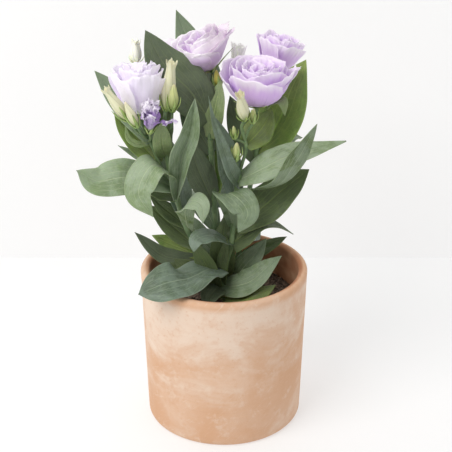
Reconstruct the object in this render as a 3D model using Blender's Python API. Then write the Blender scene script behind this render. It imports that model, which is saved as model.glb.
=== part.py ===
"""A potted lisianthus in a straight terracotta pot, as closed solids.

Metres, +Z up. The pot stands on z = 0 with its bottom centre at the origin, and the photo looks along +Y.
Every length below is in millimetres and becomes metres where the meshes are made.
"""

import math
from typing import NamedTuple

import bmesh
import bpy
from mathutils import Vector

MM = 0.001

POT_HEIGHT = 147.0
POT_TOP_RADIUS = 75.0
POT_BASE_RADIUS = 71.0
POT_WALL = 8.0
POT_FLOOR = 9.0
POT_BASE_EDGE = 4.0
POT_LIP = 3.4
POT_SEGMENTS = 40

SOIL_TOP = 116.0
SOIL_SEGMENTS = 22
SOIL_BOTTOM_STEP = 3.0
GAP = 0.3
HOLE_SIDES = 9
HOLE_LENGTH = 60.0

STEM_RADIUS = 2.3
PEDUNCLE_RADIUS = 1.15
STEM_SIDES = 6
PEDUNCLE_SIDES = 5

LEAF_THICKNESS = 0.75
LEAF_STATIONS = (0.0, 0.17, 0.37, 0.58, 0.78, 0.93)
COARSE = (0.0, 0.25, 0.55, 0.84)
PETAL_THICKNESS = 0.7
PETAL_STATIONS = (0.0, 0.32, 0.68, 1.0)
WIDEST_PETAL_ANGLE = 1.15
CLAW_ANGLE = 0.5
CLAW_END = 0.4

CUP_RADIUS = 2.4
CUP_LEVELS = (-3.0, -2.0, -GAP)
SEPAL_FOOT = (-1.8, 1.65)
SEPAL_WIDTH = 2.6
SEPAL_KEEL = 1.2
SEPAL_GAP = 1.15
SEPAL_COUNT = 5
BUD_SIDES = 8

GREEN = (0.16, 0.25, 0.13)
LILAC = (0.62, 0.48, 0.78)
CREAM = (0.80, 0.80, 0.50)
PURPLE = (0.24, 0.12, 0.36)
TERRACOTTA = (0.72, 0.42, 0.27)
SOIL = (0.05, 0.035, 0.025)


class Shoot(NamedTuple):
    """A round stem or stalk along its path, up to the flower it carries."""

    radius: float
    path: tuple
    flower: str = ""


class Leaf(NamedTuple):
    """A leaf: its midrib from the stem's axis to the tip, and the way its upper side faces along it.

    fold is each half's rise from the midrib in degrees. peak is how far along it is widest, base is the
    fraction of that width at the stem, and a larger point gives a blunter end.
    """

    name: str
    width: float
    path: tuple
    faces: tuple
    fold: float = 18.0
    wave: float = 0.0
    columns: int = 3
    peak: float = 0.42
    base: float = 0.42
    point: float = 1.9
    stations: tuple = LEAF_STATIONS


class Bud(NamedTuple):
    """A closed flower on the end of its stalk: its foot, its tip and its largest radius."""

    name: str
    foot: tuple
    tip: tuple
    radius: float
    sepal: float

    def axis_from_foot(self):
        return vec(self.tip) - vec(self.foot)


class Ring(NamedTuple):
    """One ring of petals: (radius, height) points from the foot to the rim, measured along the axis."""

    count: int
    turn: float
    width: float
    profile: tuple
    skew: float = 0.16
    ruffle: float = 1.2
    columns: int = 4
    span: float = 360.0


class Bloom(NamedTuple):
    """An open flower: its foot, the way its mouth faces, and its rings of petals."""

    name: str
    foot: tuple
    axis: tuple
    rings: tuple
    sepal: float

    def axis_from_foot(self):
        return vec(self.axis)


STEMS = {
    "stem_left": (
        Shoot(
            STEM_RADIUS,
            ((-8, 0, 79), (-8, 0, 120), (-8, 0, 125), (-15, -1, 151), (-32, -3, 183), (-46, -4, 230)),
        ),
        Shoot(1.7, ((-46, -4, 228), (-50, -4, 258), (-51, -5, 280)), "bud_tall"),
        Shoot(PEDUNCLE_RADIUS, ((-50, -4, 258), (-47, -11, 272), (-44, -16, 286)), "bud_beside"),
        Shoot(1.5, ((-46, -4, 230), (-55, -6, 246), (-61, -7, 264), (-66, -7, 276))),
        Shoot(PEDUNCLE_RADIUS, ((-65.7, -7, 274), (-69, -8, 284)), "bloom_left"),
        Shoot(PEDUNCLE_RADIUS, ((-65.3, -7, 273), (-72, -17, 281)), "bud_left"),
        Shoot(PEDUNCLE_RADIUS, ((-65, -7, 272), (-68, -22, 280)), "bud_left_small"),
        Shoot(PEDUNCLE_RADIUS, ((-64, -7, 269), (-62, -18, 275)), "bloom_wilted"),
        Shoot(PEDUNCLE_RADIUS, ((-63, -7, 270), (-68, 10, 287), (-74, 26, 310)), "bud_behind"),
    ),
    "stem_front": (
        Shoot(
            STEM_RADIUS,
            ((-1, -2, 79), (-1, -2, 120), (-1, -2, 125), (2, 0, 150), (7, 0, 172), (13, 0, 236)),
        ),
        Shoot(1.5, ((13, 0, 235), (16, 0, 247), (19, 0, 258), (18, 0, 268), (15, -6, 281)), "bud_centre"),
        Shoot(PEDUNCLE_RADIUS, ((18, 0, 268), (21, -2, 277)), "bud_centre_small"),
        Shoot(PEDUNCLE_RADIUS, ((13, 0, 237), (11, -4, 246)), "bud_green"),
        Shoot(PEDUNCLE_RADIUS, ((18.5, 0, 264), (14, -3, 268)), "bud_thin"),
    ),
    "stem_back": (
        Shoot(
            STEM_RADIUS,
            ((-4, 14, 79), (-4, 14, 120), (-4, 14, 125), (-7, 15, 150), (-9, 17, 209), (-12, 20, 260)),
        ),
        Shoot(1.6, ((-12, 20, 258), (-14, 24, 281), (-12, 35, 300)), "bloom_top"),
        Shoot(PEDUNCLE_RADIUS, ((-13.4, 26.5, 286), (-8, 31, 296)), "bud_yellow"),
    ),
    "stem_right": (
        Shoot(
            STEM_RADIUS,
            ((8, 12, 79), (8, 12, 120), (8, 12, 125), (15, 18, 160), (22, 26, 205), (28, 30, 239)),
        ),
        Shoot(1.6, ((28, 30, 238), (31, 28, 262), (29, 20, 279)), "bloom_front"),
        Shoot(1.4, ((30.5, 29, 258), (37, 50, 281)), "bloom_right"),
        Shoot(PEDUNCLE_RADIUS, ((27, 29, 230), (22, 44, 262), (14, 60, 290)), "bloom_small"),
    ),
    "stem_low": (
        Shoot(STEM_RADIUS, ((-16, 9, 79), (-16, 9, 120), (-16, 9, 125), (-19, 9, 138), (-22, 8, 154))),
    ),
}

UP_FRONT = ((0.0, -0.5, 0.85),)
FRONT = ((0.0, -0.9, 0.3),)
FRONT_RIGHT = ((0.3, -0.85, 0.4),)
FRONT_LEFT = ((-0.3, -0.85, 0.4),)
UP_BACK = ((0.0, -0.3, 0.9),)

LEAVES = {
    "stem_left": (
        Leaf(
            "left_high",
            19,
            ((-62, -7, 268), (-78, 8, 287), (-95, 12, 307), (-110, 14, 325)),
            FRONT_RIGHT,
        ),
        Leaf("left_mid", 24, ((-56, -6, 248), (-68, 4, 258), (-83, 10, 275), (-95, 12, 295)), FRONT_RIGHT),
        Leaf("left_thin", 10, ((-50, -5, 238), (-64, 6, 244), (-77, 14, 248), (-93, 17, 256)), UP_FRONT),
        Leaf(
            "left_wide",
            33,
            ((-45, -4, 226), (-64, -14, 238), (-86, -24, 243), (-107, -30, 242), (-124, -31, 252)),
            ((0.2, -0.5, 0.85), (0.1, -0.75, 0.65), (0.0, -0.6, 0.8)),
            fold=12,
            wave=1.0,
            columns=5,
            peak=0.55,
            point=2.6,
        ),
        Leaf(
            "left_hook",
            31,
            ((-44, -4, 224), (-50, -15, 245), (-61, -28, 255), (-72, -38, 235), (-60, -42, 214)),
            ((0.5, 0.3, 0.8), (0.0, -0.3, 1.0), (-0.3, -0.8, 0.5), (-0.2, -1.0, 0.1)),
            fold=10,
            peak=0.55,
            base=0.25,
        ),
        Leaf(
            "left_upright",
            29,
            ((-41, -4, 213), (-38, -15, 240), (-35, -22, 262), (-28, -25, 283), (-24, -17, 311)),
            ((0.1, -0.9, 0.3), (-0.1, -0.95, 0.2)),
            fold=22,
            peak=0.5,
            base=0.3,
        ),
        Leaf(
            "left_drape",
            20,
            ((-31, -3, 183), (-34, -15, 206), (-29, -26, 222), (-19, -36, 222), (-18, -40, 207)),
            ((0.3, 0.7, 0.5), (0.0, -0.4, 0.9), (0.2, -1.0, 0.2)),
            fold=8,
            peak=0.6,
        ),
        Leaf(
            "left_long_low",
            38,
            ((-8, -1, 146), (-20, -20, 151), (-33, -43, 156), (-50, -57, 158), (-72, -63, 151)),
            ((-0.1, -0.4, 0.9), (-0.2, -0.5, 0.85), (-0.3, -0.7, 0.65)),
            fold=12,
            wave=1.2,
            columns=5,
            peak=0.5,
            base=0.75,
            point=3.6,
        ),
        Leaf("left_dark", 22, ((-22, -2, 164), (-33, 8, 170), (-49, 14, 182), (-68, 15, 200)), FRONT_RIGHT),
        Leaf("left_small", 16, ((-32, -3, 186), (-43, 4, 193), (-54, 9, 200), (-66, 10, 211)), FRONT_RIGHT),
        Leaf(
            "bract_round",
            17,
            ((-50, -4, 254), (-52, -16, 269), (-52, -20, 282), (-51, -22, 292)),
            ((0.0, -1.0, 0.1),),
            base=0.8,
            point=2.6,
        ),
        Leaf("left_shade", 20, ((-41, -3.5, 213), (-52, 4, 216), (-63, 6, 220), (-76, 6, 226)), UP_FRONT),
        Leaf("left_filler", 22, ((-49, -3, 256), (-54, 9, 270), (-53, 14, 290), (-50, 15, 308)), FRONT),
        Leaf(
            "left_back_high",
            24,
            ((-47, -4, 238), (-53, 14, 250), (-62, 34, 258), (-70, 54, 254)),
            UP_BACK,
            stations=COARSE,
        ),
        Leaf(
            "left_back_low",
            26,
            ((-37, -3.3, 200), (-40, 14, 212), (-48, 38, 218), (-58, 60, 212)),
            UP_BACK,
            stations=COARSE,
        ),
    ),
    "stem_front": (
        Leaf(
            "front_upright",
            16,
            ((13, 0, 226), (6, -10, 243), (-1, -15, 267), (-8, -14, 287), (-13, -11, 311)),
            ((0.6, -0.6, 0.5), (0.2, -0.9, 0.3), (0.5, -0.8, 0.2)),
            fold=30,
            peak=0.16,
            base=0.8,
            point=1.1,
        ),
        Leaf(
            "front_dark",
            22,
            ((11, 0, 205), (7, 6, 228), (2, 9, 255), (-7, 10, 284)),
            ((0.2, -0.9, 0.3),),
        ),
        Leaf(
            "right_long",
            27,
            ((13, 0, 230), (33, -6, 243), (56, -10, 257), (82, -11, 265), (104, -9, 270)),
            ((-0.3, -0.5, 0.8), (-0.1, -0.75, 0.65), (-0.1, -0.7, 0.7)),
            fold=14,
            wave=0.8,
            peak=0.32,
            base=0.6,
            point=1.5,
        ),
        Leaf(
            "right_under",
            22,
            ((13, 0, 222), (33, -7, 225), (49, -21, 238), (63, -28, 264), (77, -30, 293)),
            ((-0.2, 0.3, 0.9), (-0.4, 0.8, 0.5), (-0.7, 0.9, 0.1)),
            fold=14,
            peak=0.65,
            base=0.25,
        ),
        Leaf(
            "right_wide",
            38,
            ((9, 0, 184), (32, 9, 198), (54, 13, 217), (75, 13, 235)),
            ((-0.4, -0.7, 0.6),),
            fold=14,
            base=0.45,
            point=2.4,
        ),
        Leaf(
            "front_hook",
            27,
            ((9, 0, 184), (4, -6, 206), (2, -14, 223), (11, -26, 225), (20, -34, 214), (12, -37, 197)),
            ((0.5, 0.8, 0.3), (0.3, 0.2, 0.95), (0.1, -0.8, 0.7), (0.1, -1.0, 0.2)),
            fold=6,
            peak=0.62,
        ),
        Leaf(
            "front_left_low",
            18,
            ((6, 0, 169), (-7, -14, 183), (-17, -27, 189), (-24, -34, 188), (-26, -40, 180)),
            ((-0.1, -0.4, 0.9), (-0.2, -0.6, 0.75), (-0.5, -0.8, 0.3)),
            fold=10,
            peak=0.6,
            point=3.0,
        ),
        Leaf(
            "front_right_low",
            24,
            ((0, -1, 131), (14, -14, 139), (27, -18, 148), (39, -16, 158), (51, -12, 164)),
            ((-0.2, -0.5, 0.85),),
            peak=0.33,
            base=0.6,
        ),
        Leaf(
            "front_lowest",
            16,
            ((-1, -2, 124), (14, -17, 131), (27, -24, 137), (40, -22, 141), (51, -16, 142)),
            UP_FRONT,
        ),
        Leaf(
            "front_right",
            20,
            ((7, 0, 169), (18, -1, 178), (34, 2, 187), (47, 4, 185), (62, 4, 176)),
            ((-0.3, -0.8, 0.6), (-0.2, -0.3, 1.0), (0.2, 0.1, 1.0)),
            peak=0.25,
            base=0.6,
            point=1.2,
        ),
        Leaf(
            "front_round",
            27,
            ((18, 0, 262), (27, 6, 269), (35, 9, 279), (41, 9, 293)),
            FRONT_LEFT,
            base=0.55,
        ),
        Leaf(
            "front_back_low",
            17,
            ((6, 0, 168), (7, 16, 175), (7, 38, 180), (8, 62, 176)),
            UP_BACK,
            stations=COARSE,
        ),
    ),
    "stem_back": (
        Leaf(
            "top_wide",
            36,
            ((-13, 22, 278), (-29, 15, 306), (-51, 14, 331), (-66, 15, 360)),
            FRONT_RIGHT,
            fold=12,
        ),
        Leaf(
            "top_high",
            30,
            ((-13, 24, 281), (-19, 56, 302), (-32, 82, 330), (-43, 89, 358)),
            ((0.2, -0.8, 0.5),),
        ),
        Leaf("back_dark", 27, ((-9, 17, 200), (-16, 13, 218), (-24, 10, 240), (-31, 8, 268)), FRONT_RIGHT),
        Leaf("back_bright", 24, ((-9, 17, 208), (-10, 27, 229), (-11, 33, 250), (-9, 37, 280)), FRONT),
        Leaf("back_light", 20, ((-12, 20, 262), (-9, 19, 283), (-6, 23, 298), (-3, 29, 312)), FRONT_LEFT),
        Leaf("back_filler", 24, ((-11, 19, 248), (-23, 25, 268), (-31, 27, 286), (-38, 27, 302)), FRONT),
        Leaf(
            "back_left_low",
            26,
            ((-8, 16, 176), (-18, 36, 188), (-26, 58, 192), (-32, 80, 186)),
            UP_BACK,
            stations=COARSE,
        ),
        Leaf(
            "back_behind",
            28,
            ((-9, 17, 196), (-8, 34, 206), (-8, 56, 212), (-12, 76, 206)),
            UP_BACK,
            stations=COARSE,
        ),
        Leaf(
            "back_lowest",
            28,
            ((-6, 15, 148), (-26, 34, 160), (-42, 54, 166), (-56, 72, 160)),
            UP_BACK,
            stations=COARSE,
        ),
    ),
    "stem_right": (
        Leaf(
            "right_tall",
            36,
            ((29, 30, 244), (41, 33, 259), (51, 36, 278), (60, 38, 303), (71, 36, 328)),
            FRONT_LEFT,
            base=0.65,
        ),
        Leaf("right_filler", 26, ((28, 30, 237), (20, 32, 256), (12, 34, 275), (5, 34, 296)), FRONT),
        Leaf(
            "right_curl",
            13,
            ((30, 27, 266), (38, 24, 287), (44, 16, 297), (50, 9, 299), (52, 4, 288)),
            ((-0.3, 0.4, 0.8), (0.0, -0.3, 1.0), (0.2, -0.9, 0.3)),
            fold=10,
            peak=0.6,
        ),
        Leaf("right_low", 16, ((13, 16, 146), (24, 17, 150), (38, 18, 156), (57, 18, 167)), UP_FRONT),
        Leaf(
            "right_back_high",
            28,
            ((27, 29, 232), (42, 42, 244), (58, 56, 250), (72, 68, 244)),
            UP_BACK,
            stations=COARSE,
        ),
        Leaf(
            "right_back_low",
            28,
            ((15, 18, 162), (20, 40, 154), (22, 62, 158), (22, 82, 154)),
            UP_BACK,
            stations=COARSE,
        ),
    ),
    "stem_low": (
        Leaf(
            "low_far",
            18,
            ((-21, 8, 150), (-38, 4, 151), (-58, 3, 157), (-80, 4, 178)),
            ((0.2, -0.6, 0.8),),
        ),
        Leaf("low_bright", 21, ((-22, 8, 152), (-38, 17, 155), (-52, 22, 159), (-66, 23, 166)), UP_FRONT),
        Leaf("low_near", 14, ((-20, 8, 144), (-30, 4, 144), (-42, -4, 147), (-54, -8, 151)), UP_FRONT),
        Leaf(
            "low_back",
            24,
            ((-20, 9, 142), (-34, 28, 150), (-44, 44, 156), (-52, 58, 152)),
            UP_BACK,
            stations=COARSE,
        ),
    ),
}

BUDS = (
    Bud("bud_tall", (-49, -6, 298), (-43, -8, 340), 5.8, 14),
    Bud("bud_beside", (-43, -17, 301), (-41, -19, 324), 4.2, 12),
    Bud("bud_left", (-80.3, -27, 296.3), (-97, -28, 323), 4.7, 14),
    Bud("bud_left_small", (-72, -33, 293), (-80.8, -35, 314), 3.8, 12),
    Bud("bud_centre", (17, -14, 292), (13, -29, 319), 4.9, 10),
    Bud("bud_centre_small", (24.5, -6, 287), (25, -9, 299), 2.8, 10),
    Bud("bud_green", (10, -7, 253), (11, -10, 269), 3.6, 12),
    Bud("bud_thin", (9, -4.5, 272.5), (8, -7, 283), 2.0, 7),
    Bud("bud_yellow", (-5.3, 34, 305), (-7, 36, 319), 3.0, 10),
    Bud("bud_behind", (-76, 28, 328), (-76, 29, 346), 4.6, 10),
)
BLOOMS = (
    Bloom(
        "bloom_left",
        (-70.5, -10, 294.5),
        (-0.08, -0.08, 1.0),
        (
            Ring(5, 36, 25, ((1.8, 0.5), (11, 6), (15.5, 18), (21.5, 37)), ruffle=0.9),
            Ring(4, 70, 20, ((1.6, 2), (7, 12), (12, 26), (16, 41))),
            Ring(3, 100, 14, ((1.4, 3), (4, 14), (6, 26), (8, 39)), 0.15, 1.0, 3),
        ),
        11,
    ),
    Bloom(
        "bloom_top",
        (-11, 46, 316),
        (-0.42, -0.1, 0.9),
        (
            Ring(2, 150, 34, ((1.8, 0.5), (16, 8), (30, 20), (41, 36)), span=90),
            Ring(2, 260, 30, ((1.8, 0.5), (12, 7), (20, 17), (25, 28)), span=110),
            Ring(1, 55, 32, ((1.8, 0.5), (11, 8), (20, 19), (28, 25))),
            Ring(5, 45, 26, ((1.6, 2), (10, 12), (18, 24), (23, 35))),
            Ring(3, 70, 17, ((1.4, 3), (5, 14), (8, 25), (10, 34)), 0.15, 1.0, 3),
        ),
        10,
    ),
    Bloom(
        "bloom_front",
        (28, 14, 291),
        (-0.03, -0.08, 1.0),
        (
            Ring(5, 18, 35, ((1.8, 0.5), (15, 7), (25, 18), (33, 34)), ruffle=1.8),
            Ring(5, 50, 27, ((1.6, 2), (10, 11), (17, 23), (23, 37)), ruffle=1.8),
            Ring(3, 80, 17, ((1.4, 3), (6, 14), (9, 25), (11, 36)), 0.15, 1.2, 3),
        ),
        10,
    ),
    Bloom(
        "bloom_right",
        (44, 72, 303),
        (0.25, 0.05, 0.96),
        (
            Ring(5, 5, 28, ((1.8, 0.5), (10, 8), (16, 20), (22, 34))),
            Ring(4, 40, 22, ((1.6, 2), (7, 12), (12, 25), (16, 38))),
            Ring(3, 70, 15, ((1.4, 3), (4, 14), (7, 25), (8, 36)), 0.15, 1.0, 3),
        ),
        11,
    ),
    Bloom(
        "bloom_small",
        (11.5, 66, 311),
        (0.1, 0.0, 1.0),
        (
            Ring(4, 10, 15, ((1.6, 0.5), (5, 8), (8, 16), (10, 22)), ruffle=0.8),
            Ring(2, 40, 9, ((1.4, 2), (3, 9), (4, 16), (4, 21)), ruffle=0.5),
        ),
        7,
    ),
    Bloom(
        "bloom_wilted",
        (-60.5, -28, 286),
        (0.17, -0.22, 1.0),
        (
            Ring(3, 10, 9, ((1.5, 1), (4, 9), (6, 18), (8, 27)), 0.2, 1.4, 3),
            Ring(1, 342, 7, ((1.5, 1), (5, 9), (13, 13), (22, 14)), 0.2, 1.0, 3),
            Ring(2, 210, 7, ((1.5, 1), (5, 8), (8, 15), (9, 21)), 0.2, 1.0, 3, 120),
        ),
        6,
    ),
)
FLOWERS = {flower.name: flower for flower in BUDS + BLOOMS}


def vec(values):
    return Vector(float(value) for value in values)


def curve_point(points, u):
    """A Catmull-Rom curve through the points, with u running evenly over its spans."""
    spans = len(points) - 1
    position = min(max(u, 0.0), 1.0) * spans
    index = min(int(position), spans - 1)
    t = position - index
    start, end = points[index], points[index + 1]
    before = points[index - 1] if index > 0 else start * 2 - end
    after = points[index + 2] if index + 2 <= spans else end * 2 - start
    linear = (end - before) * t
    square = (before * 2 - start * 5 + end * 4 - after) * t**2
    cube = (start * 3 - before - end * 3 + after) * t**3
    return (start * 2 + linear + square + cube) * 0.5


def even_curve(points, stations):
    """The points of the curve at these fractions of its length."""
    points = [vec(point) for point in points]
    steps = 12 * (len(points) - 1)
    fine = [curve_point(points, i / steps) for i in range(steps + 1)]
    reached = [0.0]
    for a, b in zip(fine, fine[1:]):
        reached.append(reached[-1] + (b - a).length)
    result = []
    for station in stations:
        want = station * reached[-1]
        index = 0
        while index < steps - 1 and reached[index + 1] < want:
            index += 1
        t = (want - reached[index]) / (reached[index + 1] - reached[index])
        result.append(fine[index].lerp(fine[index + 1], t))
    return result


def directions(points):
    result = []
    for i in range(len(points)):
        ahead = points[min(i + 1, len(points) - 1)]
        behind = points[max(i - 1, 0)]
        result.append((ahead - behind).normalized())
    return result


def mesh_object(name, points, faces):
    """A mesh object from points in mm, with its normals outward."""
    mesh = bpy.data.meshes.new(name)
    mesh.from_pydata([point * MM for point in points], [], faces)
    work = bmesh.new()
    work.from_mesh(mesh)
    bmesh.ops.recalc_face_normals(work, faces=work.faces)
    if work.calc_volume(signed=True) < 0:
        bmesh.ops.reverse_faces(work, faces=work.faces)
    work.to_mesh(mesh)
    work.free()
    result = bpy.data.objects.new(name, mesh)
    bpy.context.scene.collection.objects.link(result)
    return result


def grid_normals(rows):
    result = []
    for i, row in enumerate(rows):
        above = rows[min(i + 1, len(rows) - 1)]
        below = rows[max(i - 1, 0)]
        line = []
        for j in range(len(row)):
            along = above[j] - below[j]
            across = row[min(j + 1, len(row) - 1)] - row[max(j - 1, 0)]
            line.append(along.cross(across).normalized())
        result.append(line)
    return result


def slab(name, rows, tip, thickness):
    """A closed blade of one thickness over a grid of points, split alike on both faces.

    tip is a point that closes the last row, or None for a blunt end.
    """
    normals = grid_normals(rows)
    columns = len(rows[0])
    points = []
    for side in (0.5, -0.5):
        for row, line in zip(rows, normals):
            points.extend(p + n * (thickness * side) for p, n in zip(row, line))
    half = len(rows) * columns
    faces = []
    for i in range(len(rows) - 1):
        for j in range(columns - 1):
            a = i * columns + j
            b, c, d = a + 1, a + columns + 1, a + columns
            pair = ((a, b, c), (a, c, d)) if j < columns // 2 else ((a, b, d), (b, c, d))
            for x, y, z in pair:
                faces.append((x, y, z))
                faces.append((x + half, z + half, y + half))
    last = (len(rows) - 1) * columns
    border = [i * columns for i in range(len(rows))]
    back = [i * columns + columns - 1 for i in range(len(rows))]
    if tip is None:
        rim = border + [last + j for j in range(1, columns)] + back[-2::-1]
    else:
        normal = normals[-1][columns // 2]
        top = len(points)
        points.append(tip + normal * (thickness * 0.5))
        points.append(tip - normal * (thickness * 0.5))
        for j in range(columns - 1):
            faces.append((last + j, last + j + 1, top))
            faces.append((last + j + half, top + 1, last + j + 1 + half))
        rim = border + [top] + back[::-1]
    rim += [j for j in range(columns - 2, 0, -1)]

    def under(index):
        return index + 1 if index >= 2 * half else index + half

    for a, b in zip(rim, rim[1:] + rim[:1]):
        faces.append((a, under(a), under(b)))
        faces.append((a, under(b), b))
    return mesh_object(name, points, faces)


def leaf_width(spec, u):
    """The leaf's width at u as a fraction of its largest."""
    if u < spec.peak:
        return spec.base + (1 - spec.base) * math.sin(math.pi / 2 * u / spec.peak)
    return 1 - ((u - spec.peak) / (1 - spec.peak)) ** spec.point


def leaf(spec):
    stations = spec.stations + (1.0,)
    centres = even_curve(spec.path, stations)
    tangents = directions(centres)
    faces = [vec(face) for face in spec.faces]
    rows = []
    for u, centre, tangent in zip(stations[:-1], centres, tangents):
        face = curve_point(faces, u) if len(faces) > 1 else faces[0]
        normal = (face - tangent * face.dot(tangent)).normalized()
        side = tangent.cross(normal)
        half = spec.width / 2 * leaf_width(spec, u)
        fold = math.radians(spec.fold) * (1 - 0.4 * u)
        row = []
        for j in range(spec.columns):
            s = 2 * j / (spec.columns - 1) - 1
            lift = abs(s) * half * math.sin(fold) - 0.10 * half * s * s
            lift += spec.wave * s * s * math.sin(9 * u + 2.1 * s)
            row.append(centre + side * (s * half * math.cos(fold)) + normal * lift)
        rows.append(row)
    return slab(spec.name, rows, centres[-1], LEAF_THICKNESS)


def tube(name, shoot):
    """The shoot's stem, closed at both ends. One that carries a flower widens into the green cup under it."""
    path = [vec(point) for point in shoot.path]
    sides = STEM_SIDES if shoot.radius == STEM_RADIUS else PEDUNCLE_SIDES
    if shoot.flower:
        flower = FLOWERS[shoot.flower]
        foot = vec(flower.foot)
        across, other, up = axes_along(flower.axis_from_foot())
        path.append(foot + up * CUP_LEVELS[0])
    else:
        across = (path[-1] - path[-2]).orthogonal()
    count = 2 * (len(path) - 1) + 1
    centres = [curve_point(path, i / (count - 1)) for i in range(count)]
    tangents = directions(centres)
    radii = [shoot.radius] * count
    if shoot.flower:
        for level in CUP_LEVELS[1:]:
            centres.append(foot + up * level)
            tangents.append(up)
            radii.append(CUP_RADIUS)
    points = []
    for centre, tangent, radius in zip(centres[::-1], tangents[::-1], radii[::-1]):
        across = (across - tangent * across.dot(tangent)).normalized()
        other = tangent.cross(across)
        for k in range(sides):
            angle = 2 * math.pi * k / sides
            points.append(centre + (across * math.cos(angle) + other * math.sin(angle)) * radius)
    faces = [tuple(range(sides)), tuple(range(len(points) - sides, len(points)))]
    for i in range(len(centres) - 1):
        for k in range(sides):
            a, b = i * sides + k, i * sides + (k + 1) % sides
            faces.append((a, b, b + sides, a + sides))
    return mesh_object(name, points, faces)


def axes_along(direction):
    """(side, other side, unit direction) for a piece that grows along the direction."""
    up = vec(direction).normalized()
    side = Vector((0.0, 1.0, 0.0)).cross(up).normalized()
    return side, up.cross(side), up


def lathe(name, foot, direction, rings, sides, twist=0.0, flute=0.0):
    """A turned body: (radius, height) rings along the direction from the foot, pointed where a radius is 0."""
    side, other, up = axes_along(direction)
    foot = vec(foot)
    points, starts = [], []
    for radius, height in rings:
        starts.append(len(points))
        if radius == 0:
            points.append(foot + up * height)
            continue
        for k in range(sides):
            angle = 2 * math.pi * k / sides + twist * height
            grown = radius * (1 + flute * (1 if k % 2 else -1))
            points.append(foot + up * height + (side * math.cos(angle) + other * math.sin(angle)) * grown)
    starts.append(len(points))
    faces = []
    for i in range(len(rings) - 1):
        a, b, end = starts[i], starts[i + 1], starts[i + 2]
        for k in range(sides):
            n = (k + 1) % sides
            if b - a == 1:
                faces.append((a, b + k, b + n))
            elif end - b == 1:
                faces.append((a + k, a + n, b))
            else:
                faces.append((a + k, a + n, b + n, b + k))
    if rings[0][0]:
        faces.append(tuple(range(sides)))
    if rings[-1][0]:
        faces.append(tuple(range(starts[-2], starts[-1])))
    return mesh_object(name, points, faces)


def bud_profile(length, radius):
    """(radius, height) of a bud from its foot to its twisted point."""
    shape = ((0.42, 0.0), (0.8, 0.12), (1.0, 0.32), (0.86, 0.55), (0.55, 0.8), (0.3, 0.94))
    return [(radius * r, length * z) for r, z in shape] + [(0, length)]


def radius_at(profile, height):
    for (r0, z0), (r1, z1) in zip(profile, profile[1:]):
        if height <= z1:
            return r0 + (r1 - r0) * max(height - z0, 0.0) / (z1 - z0)
    return profile[-1][0]


def sepals(name, foot, direction, profile, length, spread):
    """The narrow three-sided sepals round a flower, from inside its cup, a gap outside the flower's profile."""
    side, other, up = axes_along(direction)
    foot = vec(foot)
    middle = 0.45 * length
    levels = (SEPAL_FOOT, (middle, radius_at(profile, middle) * spread + SEPAL_GAP))
    made = []
    for k in range(SEPAL_COUNT):
        angle = 2 * math.pi * k / SEPAL_COUNT
        out = side * math.cos(angle) + other * math.sin(angle)
        half = up.cross(out) * (SEPAL_WIDTH / 2)
        points = []
        for width, (height, distance) in zip((0.6, 1.0), levels):
            inner = foot + up * height + out * distance
            points.extend((inner - half * width, inner + half * width, inner + out * (SEPAL_KEEL * width)))
        points.append(foot + up * length + out * (radius_at(profile, length) * spread + SEPAL_GAP + SEPAL_KEEL / 2))
        faces = [(0, 1, 2), (3, 4, 6), (4, 5, 6), (5, 3, 6)]
        faces += [(i, (i + 1) % 3, (i + 1) % 3 + 3, i + 3) for i in range(3)]
        made.append(mesh_object(f"{name}_sepal_{k}", points, faces))
    return made


def petal(name, foot, direction, ring, angle):
    """One petal, laid out round the flower's axis so that it cups, one edge inside and the other outside."""
    side, other, up = axes_along(direction)
    foot = vec(foot)
    profile = [Vector((r, z, 0)) for r, z in ring.profile]
    rows = []
    for u in PETAL_STATIONS:
        row = []
        half = ring.width / 2 * (0.22 + 0.78 * math.sin(math.pi / 2 * min(u / 0.72, 1.0)))
        half *= 1 - 0.28 * max(u - 0.72, 0.0) / 0.28
        most = CLAW_ANGLE + (WIDEST_PETAL_ANGLE - CLAW_ANGLE) * min(u / CLAW_END, 1.0)
        for j in range(ring.columns):
            s = 2 * j / (ring.columns - 1) - 1
            r, z, _ = curve_point(profile, u * (1 - 0.13 * s * s * u))
            turned = min(half / r, most) * s
            r *= 1 + ring.skew * s * min(1.0, 1.6 * u)
            r += ring.ruffle * u * u * math.sin(5.2 * s + angle * 3)
            z += ring.ruffle * u * u * math.cos(4.1 * s + angle * 5)
            out = side * math.cos(angle + turned) + other * math.sin(angle + turned)
            row.append(foot + out * r + up * z)
        rows.append(row)
    return slab(name, rows, None, PETAL_THICKNESS)


def union(name, pieces, colour):
    """Fuses the pieces into one object with one Boolean on their collection."""
    first = pieces[0]
    group = bpy.data.collections.new(name + "_pieces")
    bpy.context.scene.collection.children.link(group)
    for piece in pieces[1:]:
        bpy.context.scene.collection.objects.unlink(piece)
        group.objects.link(piece)
    fuse = first.modifiers.new("fuse", "BOOLEAN")
    fuse.operation = "UNION"
    fuse.operand_type = "COLLECTION"
    fuse.collection = group
    fuse.solver = "EXACT"
    fuse.use_self = True
    applied(first)
    for piece in pieces[1:]:
        bpy.data.objects.remove(piece)
    bpy.data.collections.remove(group)
    return finished(first, name, colour)


def applied(item):
    """Turns the object's modifiers into its mesh."""
    bpy.context.view_layer.update()
    graph = bpy.context.evaluated_depsgraph_get()
    made = bpy.data.meshes.new_from_object(item.evaluated_get(graph))
    item.modifiers.clear()
    item.data = made


def finished(item, name, colour):
    item.name = name
    item.data.name = name
    material = bpy.data.materials.new(name)
    material.use_nodes = True
    material.node_tree.nodes["Principled BSDF"].inputs["Base Color"].default_value = (*colour, 1.0)
    material.diffuse_color = (*colour, 1.0)
    item.data.materials.clear()
    item.data.materials.append(material)
    item.data.shade_smooth()
    return item


def pot_radius(height):
    return POT_BASE_RADIUS + (POT_TOP_RADIUS - POT_BASE_RADIUS) * height / POT_HEIGHT


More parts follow.
